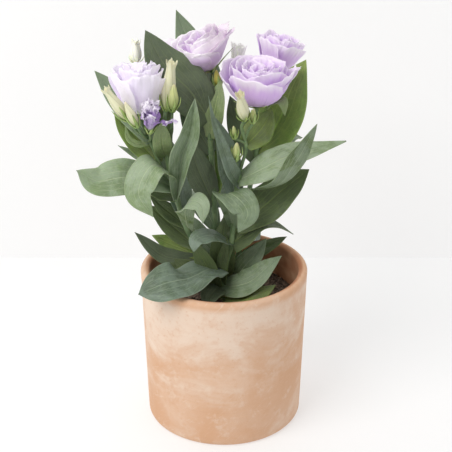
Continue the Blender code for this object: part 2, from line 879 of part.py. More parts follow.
def make_pot():
    """The pot's wall, floor and rounded lip as one turned solid."""
    middle = POT_TOP_RADIUS - POT_WALL / 2
    edge = POT_BASE_EDGE
    rings = [
        (0, 0),
        (POT_BASE_RADIUS - edge, 0),
        (POT_BASE_RADIUS - 0.3 * edge, 0.3 * edge),
        (pot_radius(edge), edge),
        (pot_radius(POT_HEIGHT - POT_LIP), POT_HEIGHT - POT_LIP),
        (middle + 0.75 * POT_WALL / 2, POT_HEIGHT - 0.7),
        (middle, POT_HEIGHT),
        (middle - 0.75 * POT_WALL / 2, POT_HEIGHT - 0.7),
        (pot_radius(POT_HEIGHT - POT_LIP) - POT_WALL, POT_HEIGHT - POT_LIP),
        (pot_radius(POT_FLOOR + 4) - POT_WALL, POT_FLOOR + 4),
        (pot_radius(POT_FLOOR) - POT_WALL - 4, POT_FLOOR),
        (0, POT_FLOOR),
    ]
    return finished(lathe("pot", (0, 0, 0), (0, 0, 1), rings, POT_SEGMENTS), "pot", TERRACOTTA)


def make_soil():
    """The soil that fills the pot to below its lip, with a plain hole for each stem."""
    bottom = POT_FLOOR + GAP
    edge = bottom + SOIL_BOTTOM_STEP + 1.5
    top_radius = pot_radius(SOIL_TOP) - POT_WALL - GAP - 0.2
    rings = [
        (0, bottom),
        (pot_radius(bottom) - POT_WALL - 5, bottom),
        (pot_radius(edge) - POT_WALL - GAP - 0.2, edge),
        (top_radius, SOIL_TOP - 2),
        (top_radius - 5, SOIL_TOP),
        (47, SOIL_TOP + 1),
        (27, SOIL_TOP + 2),
        (0, SOIL_TOP + 2.5),
    ]
    soil = lathe("soil", (0, 0, 0), (0, 0, 1), rings, SOIL_SEGMENTS)
    for vertex in soil.data.vertices:
        x, y, z = vertex.co / MM
        if z > SOIL_TOP - 0.5:
            vertex.co.z += MM * (1.1 * math.sin(x * 0.21 + y * 0.13) + 0.9 * math.cos(y * 0.27 - x * 0.07))
    holes = bpy.data.collections.new("holes")
    bpy.context.scene.collection.children.link(holes)
    for name, tubes in STEMS.items():
        x, y, z = tubes[0].path[0]
        depth = z - GAP
        sides = ((STEM_RADIUS + GAP, 0), (STEM_RADIUS + GAP, HOLE_LENGTH))
        hole = lathe(name + "_hole", (x, y, depth), (0, 0, 1), sides, HOLE_SIDES)
        bpy.context.scene.collection.objects.unlink(hole)
        holes.objects.link(hole)
    cut = soil.modifiers.new("stem holes", "BOOLEAN")
    cut.operation = "DIFFERENCE"
    cut.operand_type = "COLLECTION"
    cut.collection = holes
    cut.solver = "EXACT"
    applied(soil)
    for hole in list(holes.objects):
        bpy.data.objects.remove(hole)
    bpy.data.collections.remove(holes)
    return finished(soil, "soil", SOIL)


def bud_pieces(bud):
    """([the bud], its sepals)"""
    direction = bud.axis_from_foot()
    profile = bud_profile(direction.length, bud.radius)
    body = lathe(bud.name, bud.foot, direction, profile, BUD_SIDES, 0.045, 0.08)
    return [body], sepals(bud.name, bud.foot, direction, profile, bud.sepal, 1.1)


def bloom_pieces(bloom):
    """(the petals and the core that holds them, the sepals)"""
    core = lathe(bloom.name, bloom.foot, bloom.axis, ((1.9, 0), (2.9, 3), (2.2, 9), (0, 12)), 6)
    petals = [core]
    for layer, ring in enumerate(bloom.rings):
        for k in range(ring.count):
            angle = math.radians(ring.turn + ring.span * k / ring.count)
            petals.append(petal(f"{bloom.name}_{layer}_{k}", bloom.foot, bloom.axis, ring, angle))
    return petals, sepals(bloom.name, bloom.foot, bloom.axis, bloom.rings[0].profile, bloom.sepal, 1.25)


def make_pieces():
    """{node: pieces still to be fused}, with the stem itself first."""
    found = {}
    for name, shoots in STEMS.items():
        pieces = [tube(f"{name}_{index}", shoot) for index, shoot in enumerate(shoots)]
        pieces.extend(leaf(spec) for spec in LEAVES[name])
        for shoot in shoots:
            if shoot.flower:
                flower = FLOWERS[shoot.flower]
                made, green = bud_pieces(flower) if flower in BUDS else bloom_pieces(flower)
                found[flower.name] = made
                pieces.extend(green)
        found[name] = pieces
    return found


def colour_of(name):
    if name.startswith("stem"):
        return GREEN
    if name.startswith("bud"):
        return CREAM
    return PURPLE if name == "bloom_wilted" else LILAC


def main():
    for item in list(bpy.data.objects):
        bpy.data.objects.remove(item, do_unlink=True)
    make_pot()
    make_soil()
    for name, pieces in make_pieces().items():
        if len(pieces) == 1:
            finished(pieces[0], name, colour_of(name))
        else:
            union(name, pieces, colour_of(name))


if __name__ == "__main__":
    main()
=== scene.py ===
"""Looks of a potted lisianthus in a straight terracotta pot.

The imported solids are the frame. Every visible piece here is a finer one that stands for a solid: leaves with
veins, ruffled petals, twisted buds, crumbly soil and a turned pot. Sizes are in millimetres until a mesh is made.
"""

import logging
import math
from collections.abc import Callable, Iterable, Sequence
from dataclasses import dataclass, field
from enum import Enum
from functools import cache

import bmesh
import bpy
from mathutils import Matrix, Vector, noise


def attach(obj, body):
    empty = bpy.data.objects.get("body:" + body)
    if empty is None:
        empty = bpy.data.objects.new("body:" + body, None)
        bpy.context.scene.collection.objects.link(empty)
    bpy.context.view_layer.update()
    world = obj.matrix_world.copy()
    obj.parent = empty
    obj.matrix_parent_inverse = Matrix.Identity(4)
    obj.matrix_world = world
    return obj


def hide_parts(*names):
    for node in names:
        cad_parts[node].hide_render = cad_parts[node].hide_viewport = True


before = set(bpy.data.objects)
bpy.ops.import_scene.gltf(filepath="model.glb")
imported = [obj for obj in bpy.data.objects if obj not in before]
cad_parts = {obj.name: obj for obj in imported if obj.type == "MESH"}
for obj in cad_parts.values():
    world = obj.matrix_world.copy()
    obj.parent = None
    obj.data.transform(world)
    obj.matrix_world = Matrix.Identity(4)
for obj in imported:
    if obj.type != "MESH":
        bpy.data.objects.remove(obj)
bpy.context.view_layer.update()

MM = 0.001
LOG = logging.getLogger("lisianthus")
NOISE_SEED = 5
Colour = tuple[float, float, float]
Point = tuple[float, float, float]
Axes = tuple[Vector, Vector, Vector]
Rows = list[list[Vector]]
Profile = Sequence[tuple[float, float]]
Field = Callable[[float, float], float]
noise.seed_set(NOISE_SEED)


# Shapes


def vec(values: Sequence[float]) -> Vector:
    """The values as a 3-D vector."""
    return Vector(tuple(float(value) for value in values))


def smooth(value: float, low: float, high: float) -> float:
    """How far value has gone from low to high, from 0 to 1 and eased at both ends; high may lie below low."""
    t = min(max((value - low) / (high - low), 0.0), 1.0)
    return t * t * (3 - 2 * t)


def waves(place: float, seed: float, terms: Iterable[tuple[float, float, float]]) -> float:
    """The sum of sine waves, each (size, count, share of the seed that shifts it), at this place."""
    return sum(size * math.sin(count * place + shift * seed) for size, count, shift in terms)


def flat(pairs: Profile) -> list[Vector]:
    """The pairs as vectors with no third number."""
    return [Vector((a, b, 0.0)) for a, b in pairs]


def curve_point(points: Sequence[Vector], u: float) -> Vector:
    """A point of the Catmull-Rom curve through the points.

    Args:
        points: the curve's points.
        u: 0 at the first point and 1 at the last, even over its spans.

    Returns:
        The point at u.
    """
    spans = len(points) - 1
    position = min(max(u, 0.0), 1.0) * spans
    index = min(int(position), spans - 1)
    t = position - index
    start, end = points[index], points[index + 1]
    before = points[index - 1] if index > 0 else start * 2 - end
    after = points[index + 2] if index + 2 <= spans else end * 2 - start
    linear = (end - before) * t
    square = (before * 2 - start * 5 + end * 4 - after) * t**2
    cube = (start * 3 - before - end * 3 + after) * t**3
    return (start * 2 + linear + square + cube) * 0.5


def even_curve(path: Sequence[Point], count: int) -> list[Vector]:
    """Points at equal steps of length along the curve through the path.

    Args:
        path: the curve's points.
        count: how many points to return.

    Returns:
        The points, from the path's first to its last.
    """
    points = [vec(point) for point in path]
    steps = 24 * (len(points) - 1)
    fine = [curve_point(points, i / steps) for i in range(steps + 1)]
    reached = [0.0]
    for a, b in zip(fine, fine[1:]):
        reached.append(reached[-1] + (b - a).length)
    found, index = [], 0
    for i in range(count):
        want = reached[-1] * i / (count - 1)
        while index < steps - 1 and reached[index + 1] < want:
            index += 1
        t = (want - reached[index]) / (reached[index + 1] - reached[index])
        found.append(fine[index].lerp(fine[index + 1], t))
    return found


def directions(points: Sequence[Vector]) -> list[Vector]:
    """The unit direction of the line of points at each of them."""
    last = len(points) - 1
    return [(points[min(i + 1, last)] - points[max(i - 1, 0)]).normalized() for i in range(last + 1)]


def axes_along(direction: Sequence[float]) -> Axes:
    """The axes of a piece that grows along a direction.

    Args:
        direction: the way that it grows.

    Returns:
        (side, other side, unit direction).
    """
    up = vec(direction).normalized()
    side = Vector((0.0, 1.0, 0.0)).cross(up).normalized()
    return side, up.cross(side), up


def outward(axes: Axes, angle: float) -> Vector:
    """The unit vector away from the axis at this angle in radians."""
    return axes[0] * math.cos(angle) + axes[1] * math.sin(angle)


def radius_at(profile: Profile, height: float) -> float:
    """The radius of a profile at a height.

    Args:
        profile: (radius, height) points from low to high.
        height: where to read it.

    Returns:
        The radius in mm.
    """
    for (r0, z0), (r1, z1) in zip(profile, profile[1:]):
        if height <= z1:
            return r0 + (r1 - r0) * max(height - z0, 0.0) / (z1 - z0)
    return profile[-1][0]


def letters(name: str, step: float) -> float:
    """A number that belongs to the name, so that each piece varies and every run gives the same."""
    return sum(ord(letter) for letter in name) * step


@dataclass
class Draft:
    """A mesh in the making: its points in mm, its faces, and what each point carries for the materials."""

    points: list[Vector] = field(default_factory=list)
    faces: list[tuple[int, ...]] = field(default_factory=list)
    uvs: list[tuple[float, float]] = field(default_factory=list)
    marks: list[tuple[float, float, float, float]] = field(default_factory=list)

    def add(self, point: Vector, uv: tuple[float, float], under: float, tone: float, depth: float) -> int:
        """Adds a point.

        Args:
            point: where it is.
            uv: its place on the piece's surface.
            under: 1 on an under side, 0 elsewhere.
            tone: a number from 0 to 1 that sets its part's own shade.
            depth: how far inside a flower it is, from 0 to 1.

        Returns:
            The point's number.
        """
        self.points.append(point)
        self.uvs.append(uv)
        self.marks.append((under, tone, depth, 1.0))
        return len(self.points) - 1

    def blade(self, rows: Rows, thickness: Field, tone: float, depth: float = 0.0) -> None:
        """Adds a closed thin blade over a grid of points, such as a leaf or a petal.

        Args:
            rows: the grid, from the blade's foot to its end.
            thickness: the blade's thickness in mm at (u along, s across from -1 to 1).
            tone: a number from 0 to 1 that sets this blade's own shade.
            depth: how far inside a flower the blade is, from 0 to 1.
        """
        last, end = len(rows) - 1, len(rows[0]) - 1
        sheets: list[list[list[int]]] = [[], []]
        for under, sheet in enumerate(sheets):
            for i, row in enumerate(rows):
                above, below = rows[min(i + 1, last)], rows[max(i - 1, 0)]
                sheet.append([])
                for j, point in enumerate(row):
                    across = row[min(j + 1, end)] - row[max(j - 1, 0)]
                    normal = (above[j] - below[j]).cross(across)
                    if normal.length < 1e-9:
                        normal = Vector((0.0, 0.0, 1.0))
                    u, v = i / last, j / end
                    offset = normal.normalized() * (thickness(u, 2 * v - 1) * (0.5 - under))
                    sheet[-1].append(self.add(point + offset, (u, v), float(under), tone, depth))
        top, bottom = sheets
        for i in range(last):
            for j in range(end):
                self.faces.append((top[i][j], top[i][j + 1], top[i + 1][j + 1], top[i + 1][j]))
                self.faces.append((bottom[i][j], bottom[i + 1][j], bottom[i + 1][j + 1], bottom[i][j + 1]))
        rim = [(i, 0) for i in range(last + 1)] + [(last, j) for j in range(1, end + 1)]
        rim += [(i, end) for i in range(last - 1, -1, -1)] + [(0, j) for j in range(end - 1, 0, -1)]
        for (a, b), (c, d) in zip(rim, rim[1:] + rim[:1]):
            self.faces.append((top[a][b], top[c][d], bottom[c][d], bottom[a][b]))

    def turned(
        self,
        foot: Vector,
        axes: Axes,
        rings: Profile,
        sides: int,
        shape: Field = lambda u, angle: 1.0,
        lift: Field = lambda u, angle: 0.0,
    ) -> None:
        """Adds a closed turned body, pointed where a ring's radius is 0.

        Args:
            foot: where the body starts.
            axes: (side, other side, direction it grows).
            rings: (radius, height) from one end to the other.
            sides: points round each ring.
            shape: a factor on the radius at (u along, angle).
            lift: mm added to the height at (u along, angle).
        """
        lines: list[list[int]] = []
        for i, (radius, height) in enumerate(rings):
            u = i / (len(rings) - 1)
            if radius == 0:
                lines.append([self.add(foot + axes[2] * height, (u, 0.5), 0.0, 0.5, 0.0)])
                continue
            lines.append([])
            for k in range(sides):
                angle = 2 * math.pi * k / sides
                raised = axes[2] * (height + lift(u, angle))
                grown = outward(axes, angle) * (radius * shape(u, angle))
                lines[-1].append(self.add(foot + raised + grown, (u, k / sides), 0.0, 0.5, 0.0))
        for a, b in zip(lines, lines[1:]):
            for k in range(sides):
                n = (k + 1) % sides
                if len(a) == 1:
                    self.faces.append((a[0], b[n], b[k]))
                elif len(b) == 1:
                    self.faces.append((a[k], a[n], b[0]))
                else:
                    self.faces.append((a[k], a[n], b[n], b[k]))
        for end in (lines[0][::-1], lines[-1]):
            if len(end) > 1:
                self.faces.append(tuple(end))

    def finish(self, name: str, material: bpy.types.Material) -> bpy.types.Object:
        """Makes the object, in metres, smooth, with its normals outward.

        Args:
            name: the piece's name.
            material: its finish.

        Returns:
            The new object at the origin.
        """
        mesh = bpy.data.meshes.new(name)
        mesh.from_pydata([tuple(point * MM) for point in self.points], [], self.faces)
        work = bmesh.new()
        work.from_mesh(mesh)
        bmesh.ops.recalc_face_normals(work, faces=work.faces)
        work.to_mesh(mesh)
        work.free()
        layer = mesh.uv_layers.new(name="surface")
        for loop in mesh.loops:
            layer.data[loop.index].uv = self.uvs[loop.vertex_index]
        marks = mesh.color_attributes.new("mark", "FLOAT_COLOR", "POINT")
        for index, mark in enumerate(self.marks):
            marks.data[index].color = mark
        mesh.materials.append(material)
        mesh.shade_smooth()
        return linked(name, mesh)


def linked(name: str, data: bpy.types.ID) -> bpy.types.Object:
    """Puts a new object with this data into the scene.

    Args:
        name: the object's name.
        data: its mesh, curve, light or camera.

    Returns:
        The object.
    """
    item = bpy.data.objects.new(name, data)
    bpy.context.scene.collection.objects.link(item)
    return item


def dress(piece: bpy.types.Object, node: str) -> None:
    """Seats a finished piece on the part in place of a solid, and reports it.

    Args:
        piece: the object, at the origin.
        node: the solid that it stands for.
    """
    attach(piece, "root")
    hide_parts(node)
    LOG.info("%s stands for %s, %d faces", piece.name, node, len(piece.data.polygons))


# Finishes


@dataclass
class Nodes:
    """Short ways to add nodes to a node tree."""

    tree: bpy.types.NodeTree

    def put(self, socket: bpy.types.NodeSocket, value: object) -> None:
        """Links or sets an input.

        Args:
            socket: the input.
            value: a wire or socket to link, or a plain value.
        """
        value = getattr(value, "socket", value)
        if isinstance(value, bpy.types.NodeSocket):
            self.tree.links.new(value, socket)
        elif isinstance(value, tuple) and socket.type == "RGBA":
            socket.default_value = (*value, 1.0)
        else:
            socket.default_value = value

    def fill(self, node: bpy.types.Node, inputs: dict[str | int, object]) -> None:
        """Links or sets some of a node's inputs.

        Args:
            node: the node.
            inputs: for each input's name or number, a wire, a socket or a plain value.
        """
        for key, value in inputs.items():
            named = (item for item in node.inputs if item.name == key and item.enabled)
            self.put(node.inputs[key] if isinstance(key, int) else next(named), value)

    def node(self, kind: str, inputs: dict[str | int, object] | None = None, **settings: object) -> bpy.types.Node:
        """Adds a node.

        Args:
            kind: Blender's name for the node.
            inputs: what to link to its inputs or set on them.
            settings: the node's own properties.

        Returns:
            The new node.
        """
        made = self.tree.nodes.new(kind)
        for key, value in settings.items():
            setattr(made, key, value)
        self.fill(made, inputs or {})
        return made


@dataclass(frozen=True)
class Wire:
    """An output of a shader node. Each sum that it takes part in adds one Math node."""

    shading: "Shading"
    socket: bpy.types.NodeSocket

    def __add__(self, other: "Wire | float") -> "Wire":
        """This and the other."""
        return self.shading.math("ADD", self, other)

    def __sub__(self, other: "Wire | float") -> "Wire":
        """This less the other."""
        return self.shading.math("SUBTRACT", self, other)

    def __rsub__(self, other: float) -> "Wire":
        """The number less this."""
        return self.shading.math("SUBTRACT", other, self)

    def __mul__(self, other: "Wire | float") -> "Wire":
        """This times the other."""
        return self.shading.math("MULTIPLY", self, other)

    def __truediv__(self, other: "Wire | float") -> "Wire":
        """This divided by the other."""
        return self.shading.math("DIVIDE", self, other)

    def __abs__(self) -> "Wire":
        """This without its sign."""
        return self.shading.math("ABSOLUTE", self)


Number = Wire | float


class Shading(Nodes):
    """Short ways to add shader nodes."""

    def wires(self, node: bpy.types.Node) -> list[Wire]:
        """The node's outputs."""
        return [Wire(self, output) for output in node.outputs]

    def math(self, operation: str, *values: Number, clamp: bool = False) -> Wire:
        """The result of a Math node on the values."""
        return self.wires(self.node("ShaderNodeMath", dict(enumerate(values)), operation=operation, use_clamp=clamp))[0]

    def ramp(self, value: Number, low: float, high: float, top: float = 1.0, floor: float = 0.0) -> Wire:
        """The value eased from floor at low to top at high."""
        inputs = dict(enumerate((value, low, high, floor, top)))
        return self.wires(self.node("ShaderNodeMapRange", inputs, interpolation_type="SMOOTHSTEP"))[0]

    def mix(self, share: Number, a: Wire | Colour, b: Wire | Colour) -> Wire:
        """The colour a with this share of b."""
        return self.wires(self.node("ShaderNodeMix", {0: share, 6: a, 7: b}, data_type="RGBA"))[2]

    def layered(self, colour: Wire, layers: Iterable[tuple[Number, Wire | Colour]]) -> Wire:
        """The colour under the layers.

        Args:
            colour: the colour to start from.
            layers: (share, colour) for each layer, from the lowest.

        Returns:
            The colour that shows.
        """
        for share, tint in layers:
            colour = self.mix(share, colour, tint)
        return colour

    def parts(self, vector: Wire) -> list[Wire]:
        """The three numbers of a vector."""
        return self.wires(self.node("ShaderNodeSeparateXYZ", {0: vector}))

    def joined(self, x: Number, y: Number, z: Number = 0.0) -> Wire:
        """A vector made of three numbers."""
        return self.wires(self.node("ShaderNodeCombineXYZ", {0: x, 1: y, 2: z}))[0]

    def noise(self, vector: Wire, scale: Number, detail: float = 3.0, rough: float = 0.5, bend: float = 0.0) -> Wire:
        """Smooth noise from 0 to 1 at this place."""
        inputs = {"Vector": vector, "Scale": scale, "Detail": detail, "Roughness": rough, "Distortion": bend}
        return self.wires(self.node("ShaderNodeTexNoise", inputs))[0]

    def cells(self, vector: Wire, scale: float) -> Wire:
        """Distance from the edges of a pattern of cells."""
        inputs = {"Vector": vector, "Scale": scale}
        return self.wires(self.node("ShaderNodeTexVoronoi", inputs, feature="DISTANCE_TO_EDGE"))[0]

    def place(self) -> Wire:
        """Object coordinates, in metres from the part's origin."""
        return Wire(self, self.node("ShaderNodeTexCoord").outputs["Object"])

    def surface(self) -> list[Wire]:
        """(u, v) of the piece's own surface map."""
        return self.parts(self.wires(self.node("ShaderNodeUVMap", uv_map="surface"))[0])[:2]

    def mark(self) -> list[Wire]:
        """(under side, tone, depth) that each point of a piece carries."""
        return self.parts(self.wires(self.node("ShaderNodeAttribute", attribute_name="mark"))[0])

    def group(self, effect: str, **values: Wire | float) -> dict[str, Wire]:
        """Places a shared effect.

        Args:
            effect: its name in EFFECTS.
            values: its inputs, by their names in small letters.

        Returns:
            Its outputs by name.
        """
        inputs = {key.capitalize(): value for key, value in values.items()}
        made = self.node("ShaderNodeGroup", inputs, node_tree=EFFECTS[effect])
        return {wire.socket.name: wire for wire in self.wires(made)}

    def bump(self, height: Wire, distance: float, strength: float) -> Wire:
        """A normal roughened by the height in metres."""
        inputs = {"Height": height, "Distance": distance, "Strength": strength}
        return self.wires(self.node("ShaderNodeBump", inputs))[0]


def shared(
    name: str, build: Callable[[Shading, dict[str, Wire]], dict[str, Wire]], **inputs: float
) -> bpy.types.NodeTree:
    """Makes a shared effect, which has a vector input called Place.

    Args:
        name: the effect's name.
        build: adds its nodes, and turns its inputs into its outputs.
        inputs: its number inputs in small letters, and their defaults.

    Returns:
        The node group.
    """
    group = bpy.data.node_groups.new(name, "ShaderNodeTree")
    group.interface.new_socket("Place", in_out="INPUT", socket_type="NodeSocketVector")
    for key, value in inputs.items():
        socket = group.interface.new_socket(key.capitalize(), in_out="INPUT", socket_type="NodeSocketFloat")
        socket.default_value = value
    s = Shading(group)
    given = s.wires(s.node("NodeGroupInput"))
    made = build(s, {wire.socket.name: wire for wire in given if wire.socket.name})
    for key in made:
        group.interface.new_socket(key, in_out="OUTPUT", socket_type="NodeSocketFloat")
    s.node("NodeGroupOutput", made)
    return group


def mottle(s: Shading, given: dict[str, Wire]) -> dict[str, Wire]:
    """Soft blotches with finer grain in them, for every living and fired surface.

    Args:
        s: the effect's nodes.
        given: its inputs.

    Returns:
        Its outputs: Mask and Grain.
    """
    coarse = s.noise(given["Place"], given["Coarse"], 3.0, 0.55, 0.4)
    fine = s.noise(given["Place"], given["Fine"], 2.0, 0.6)
    mask = s.math("ADD", s.ramp(coarse, 0.3, 0.7), (fine - 0.5) * given["Grain"], clamp=True)
    return {"Mask": mask, "Grain": fine}


def veins(s: Shading, given: dict[str, Wire]) -> dict[str, Wire]:
    """A leaf's midrib, its long side veins that meet at the tip, and the net between them.

    Args:
        s: the effect's nodes.
        given: its inputs; Place is (u along the leaf, v across it, this leaf's shift).

    Returns:
        Its outputs: Rib, Side, Net and Margin.
    """
    u, v, shift = s.parts(given["Place"])
    across = abs(v * 2.0 - 1.0)
    spread = 1.0 - s.math("POWER", 0.02, u)
    lines: Number = 0.0
    for share, strength in ((0.36, 1.0), (0.68, 0.7)):
        away = abs(across - spread * share)
        lines = s.math("MAXIMUM", lines, s.ramp(away / given["Side"], 1.0, 0.2, strength))
    net = s.cells(s.joined(u * 11.0 - across * 3.5, v * 9.0, shift * 9.0), 1.0)
    return {
        "Rib": s.ramp(across / (given["Midrib"] * (1.5 - u)), 1.0, 0.35),
        "Side": lines * s.ramp(u, 0.98, 0.7),
        "Net": s.ramp(net, 0.09, 0.0),
        "Margin": s.ramp(across, 0.93, 1.0),
    }


def streaks(s: Shading, given: dict[str, Wire]) -> dict[str, Wire]:
    """Fine lines that run along a petal.

    Args:
        s: the effect's nodes.
        given: its inputs; Place is (u along the petal, v across it, this petal's shift).

    Returns:
        Its outputs: Lines and Bands.
    """
    u, v, shift = s.parts(given["Place"])
    turned = shift * 17.0
    fine = s.joined(u * given["Waver"], v * given["Count"], turned)
    wide = s.joined(u * 1.3, v * 6.0, turned)
    return {"Lines": s.noise(fine, 1.0, 3.0, 0.55), "Bands": s.noise(wide, 1.0, 2.0, 0.5)}


EFFECTS: dict[str, bpy.types.NodeTree] = {
    "mottle": shared("Mottle", mottle, coarse=60.0, fine=600.0, grain=0.3),
    "veins": shared("Leaf veins", veins, midrib=0.05, side=0.022),
    "streaks": shared("Streaks", streaks, count=34.0, waver=2.0),
}


def glowing(weight: float, radius: Colour, scale: float) -> dict[str, object]:
    """The inputs that let light through a thin part."""
    return {"Subsurface Weight": weight, "Subsurface Radius": radius, "Subsurface Scale": scale}


@dataclass(frozen=True)
class Finish:
    """A named finish on one Principled BSDF."""

    name: str

    def inputs(self, s: Shading) -> dict[str, object]:
        """The wires and plain values for the BSDF's inputs, with their nodes in s."""
        raise NotImplementedError

    @cache
    def material(self) -> bpy.types.Material:
        """Builds the material the first time it is asked for.

        Returns:
            The material.
        """
        made = bpy.data.materials.new(self.name)
        made.use_nodes = True
        s = Shading(made.node_tree)
        s.fill(made.node_tree.nodes["Principled BSDF"], self.inputs(s))
        return made


@dataclass(frozen=True)
class LeafFinish(Finish):
    """A waxy leaf: its dark and light greens, its veins, and how much pale bloom lies on it."""

    name: str
    dark: Colour
    light: Colour
    vein: Colour
    wax: Colour
    wax_share: float = 0.8
    under_share: float = 0.4
    roughness: float = 0.5
    glow: float = 0.08

    def inputs(self, s: Shading) -> dict[str, object]:
        """Builds the finish.

        Args:
            s: the material's nodes.

        Returns:
            The BSDF's inputs.
        """
        u, v = s.surface()
        under, tone, _ = s.mark()
        blotch = s.group("mottle", place=s.place(), coarse=85.0, fine=900.0, grain=0.25)
        lines = s.group("veins", place=s.joined(u, v, tone))
        shade = s.math("ADD", blotch["Mask"] * 0.75, tone * 0.35, clamp=True)
        patches = s.noise(s.place(), 42.0, 4.0, 0.62, 0.9)
        specks = s.noise(s.place(), 520.0, 3.0, 0.6)
        cover = patches + (specks - 0.5) * 0.22
        green = s.mix(shade, self.dark, self.light)
        green = s.mix(s.ramp(cover, 0.34, 0.56, self.wax_share), green, self.wax)
        layers = [(s.ramp(specks, 0.45, 0.75, 0.3), s.mix(0.5, green, self.dark)), (under * self.under_share, self.wax)]
        for part, share in (("Net", 0.26), ("Side", 0.6), ("Margin", 0.5), ("Rib", 0.8)):
            layers.append((lines[part] * share, self.vein))
        grooves = lines["Rib"] + lines["Side"] * 0.6 + lines["Net"] * 0.25
        return glowing(self.glow, (0.5, 1.0, 0.2), 0.002) | {
            "Base Color": s.layered(green, layers),
            "Roughness": blotch["Grain"] * 0.22 + (self.roughness - 0.11),
            "Normal": s.bump(blotch["Grain"] * 0.25 - grooves, 0.00035, 0.7),
            "Specular IOR Level": 0.4,
        }


@dataclass(frozen=True)
class PetalFinish(Finish):
    """A silky petal: its colours from foot to rim, its streaks, painted shade on the inner petals towards their foot
    (painted light on the mauve tone), painted shade on the right side of the bloom, and a faint painted glow.
    """

    name: str
    foot: Colour
    body: Colour
    rim: Colour
    # The colour of the streaks; it is also laid on the inner petals towards their foot as painted shade, and on the
    # mauve tone, where it is pale, as painted light.
    streak_and_inner_shading: Colour
    streaks: float = 0.5
    rim_start: float = 0.72
    glow: float = 0.25
    # Painted glow: a faint emission in the petal's own colour, which lifts its shaded sides though a petal gives no
    # light.
    painted_glow: float = 0.03
    # Painted shade on the bloom's right side: how much of it, and its darker mauve.
    right_side_shade: float = 0.0
    right_shade_colour: Colour = (0.50, 0.33, 0.47)

    def inputs(self, s: Shading) -> dict[str, object]:
        """Builds the finish.

        Args:
            s: the material's nodes.

        Returns:
            The BSDF's inputs.
        """
        u, v = s.surface()
        _, tone, depth = s.mark()
        lines = s.group("streaks", place=s.joined(u, v, tone), count=40.0, waver=1.6)
        wander = u + (lines["Bands"] - 0.5) * 0.35
        streak = s.ramp(lines["Lines"], 0.5, 0.78, self.streaks) * s.ramp(u, 1.0, 0.55)
        layers = [
            (s.ramp(wander, self.rim_start, 1.02), self.rim),
            (streak, self.streak_and_inner_shading),
            # Painted shade: the inner petals darken towards their foot, deep in the flower; on the mauve tone the
            # colour is pale and this is painted light.
            (depth * s.ramp(u, 0.95, 0.3, 0.4), self.streak_and_inner_shading),
            (s.ramp(tone, 0.3, 1.0) * 0.25, self.rim),
        ]
        # Painted shade: petals on the right side of the bloom turn to a darker mauve.
        if self.right_side_shade > 0.0:
            right_shade_mask = s.ramp(s.parts(s.place())[0] + tone * 0.004, -0.019, -0.009, self.right_side_shade)
            layers.append((right_shade_mask * s.ramp(u, 1.0, 0.9, 0.4, 0.6), self.right_shade_colour))
        colour = s.layered(s.mix(s.ramp(u, 0.05, 0.32), self.foot, self.body), layers)
        return glowing(self.glow, (1.0, 0.8, 1.0), 0.004) | {
            "Base Color": colour,
            # Painted glow: the petal's colour goes out again as a faint emission.
            "Emission Color": colour,
            "Emission Strength": self.painted_glow,
            "Roughness": lines["Lines"] * 0.2 + 0.45,
            "Normal": s.bump(lines["Lines"], 0.0003, 0.6),
            "Sheen Weight": 0.2,
        }


@dataclass(frozen=True)
class BudFinish(Finish):
    """A closed bud: green at its foot, cream above, with lines that wind round it."""

    name: str
    foot: Colour
    body: Colour
    tip: Colour
    line: Colour
    green_end: float = 0.4

    def inputs(self, s: Shading) -> dict[str, object]:
        """Builds the finish.

        Args:
            s: the material's nodes.

        Returns:
            The BSDF's inputs.
        """
        u, v = s.surface()
        wound = v * 5.0 + u * 1.7
        seam = abs(s.math("FRACT", wound) - 0.5)
        grain = s.noise(s.joined(u * 3.0, wound * 9.0), 1.0, 3.0)
        layers = (
            (s.ramp(u, 0.7, 1.0), self.tip),
            (s.ramp(grain, 0.5, 0.8, 0.35), self.line),
            (s.ramp(seam, 0.46, 0.5, 0.5), self.line),
        )
        colour = s.mix(s.ramp(u + grain * 0.1, 0.0, self.green_end), self.foot, self.body)
        height = s.ramp(seam, 0.5, 0.4) + grain * 0.3
        plain = glowing(0.2, (1.0, 0.9, 0.4), 0.002) | {"Roughness": 0.5}
        return plain | {"Base Color": s.layered(colour, layers), "Normal": s.bump(height, 0.0004, 0.7)}


@dataclass(frozen=True)
class StemFinish(Finish):
    """A round green stem with faint lines along it."""

    name: str
    dark: Colour
    light: Colour

    def inputs(self, s: Shading) -> dict[str, object]:
        """Builds the finish.

        Args:
            s: the material's nodes.

        Returns:
            The BSDF's inputs.
        """
        blotch = s.group("mottle", place=s.place(), coarse=70.0, fine=1200.0, grain=0.4)
        x, y, z = s.parts(s.place())
        lines = s.noise(s.joined(x * 9.0, y * 9.0, z), 140.0, 2.0)
        colour = s.mix(blotch["Mask"], self.dark, self.light)
        colour = s.mix(s.ramp(lines, 0.5, 0.75, 0.3), colour, self.light)
        plain = {"Roughness": 0.5, "Subsurface Weight": 0.1, "Subsurface Scale": 0.002}
        return plain | {"Base Color": colour, "Normal": s.bump(lines, 0.0003, 0.6)}


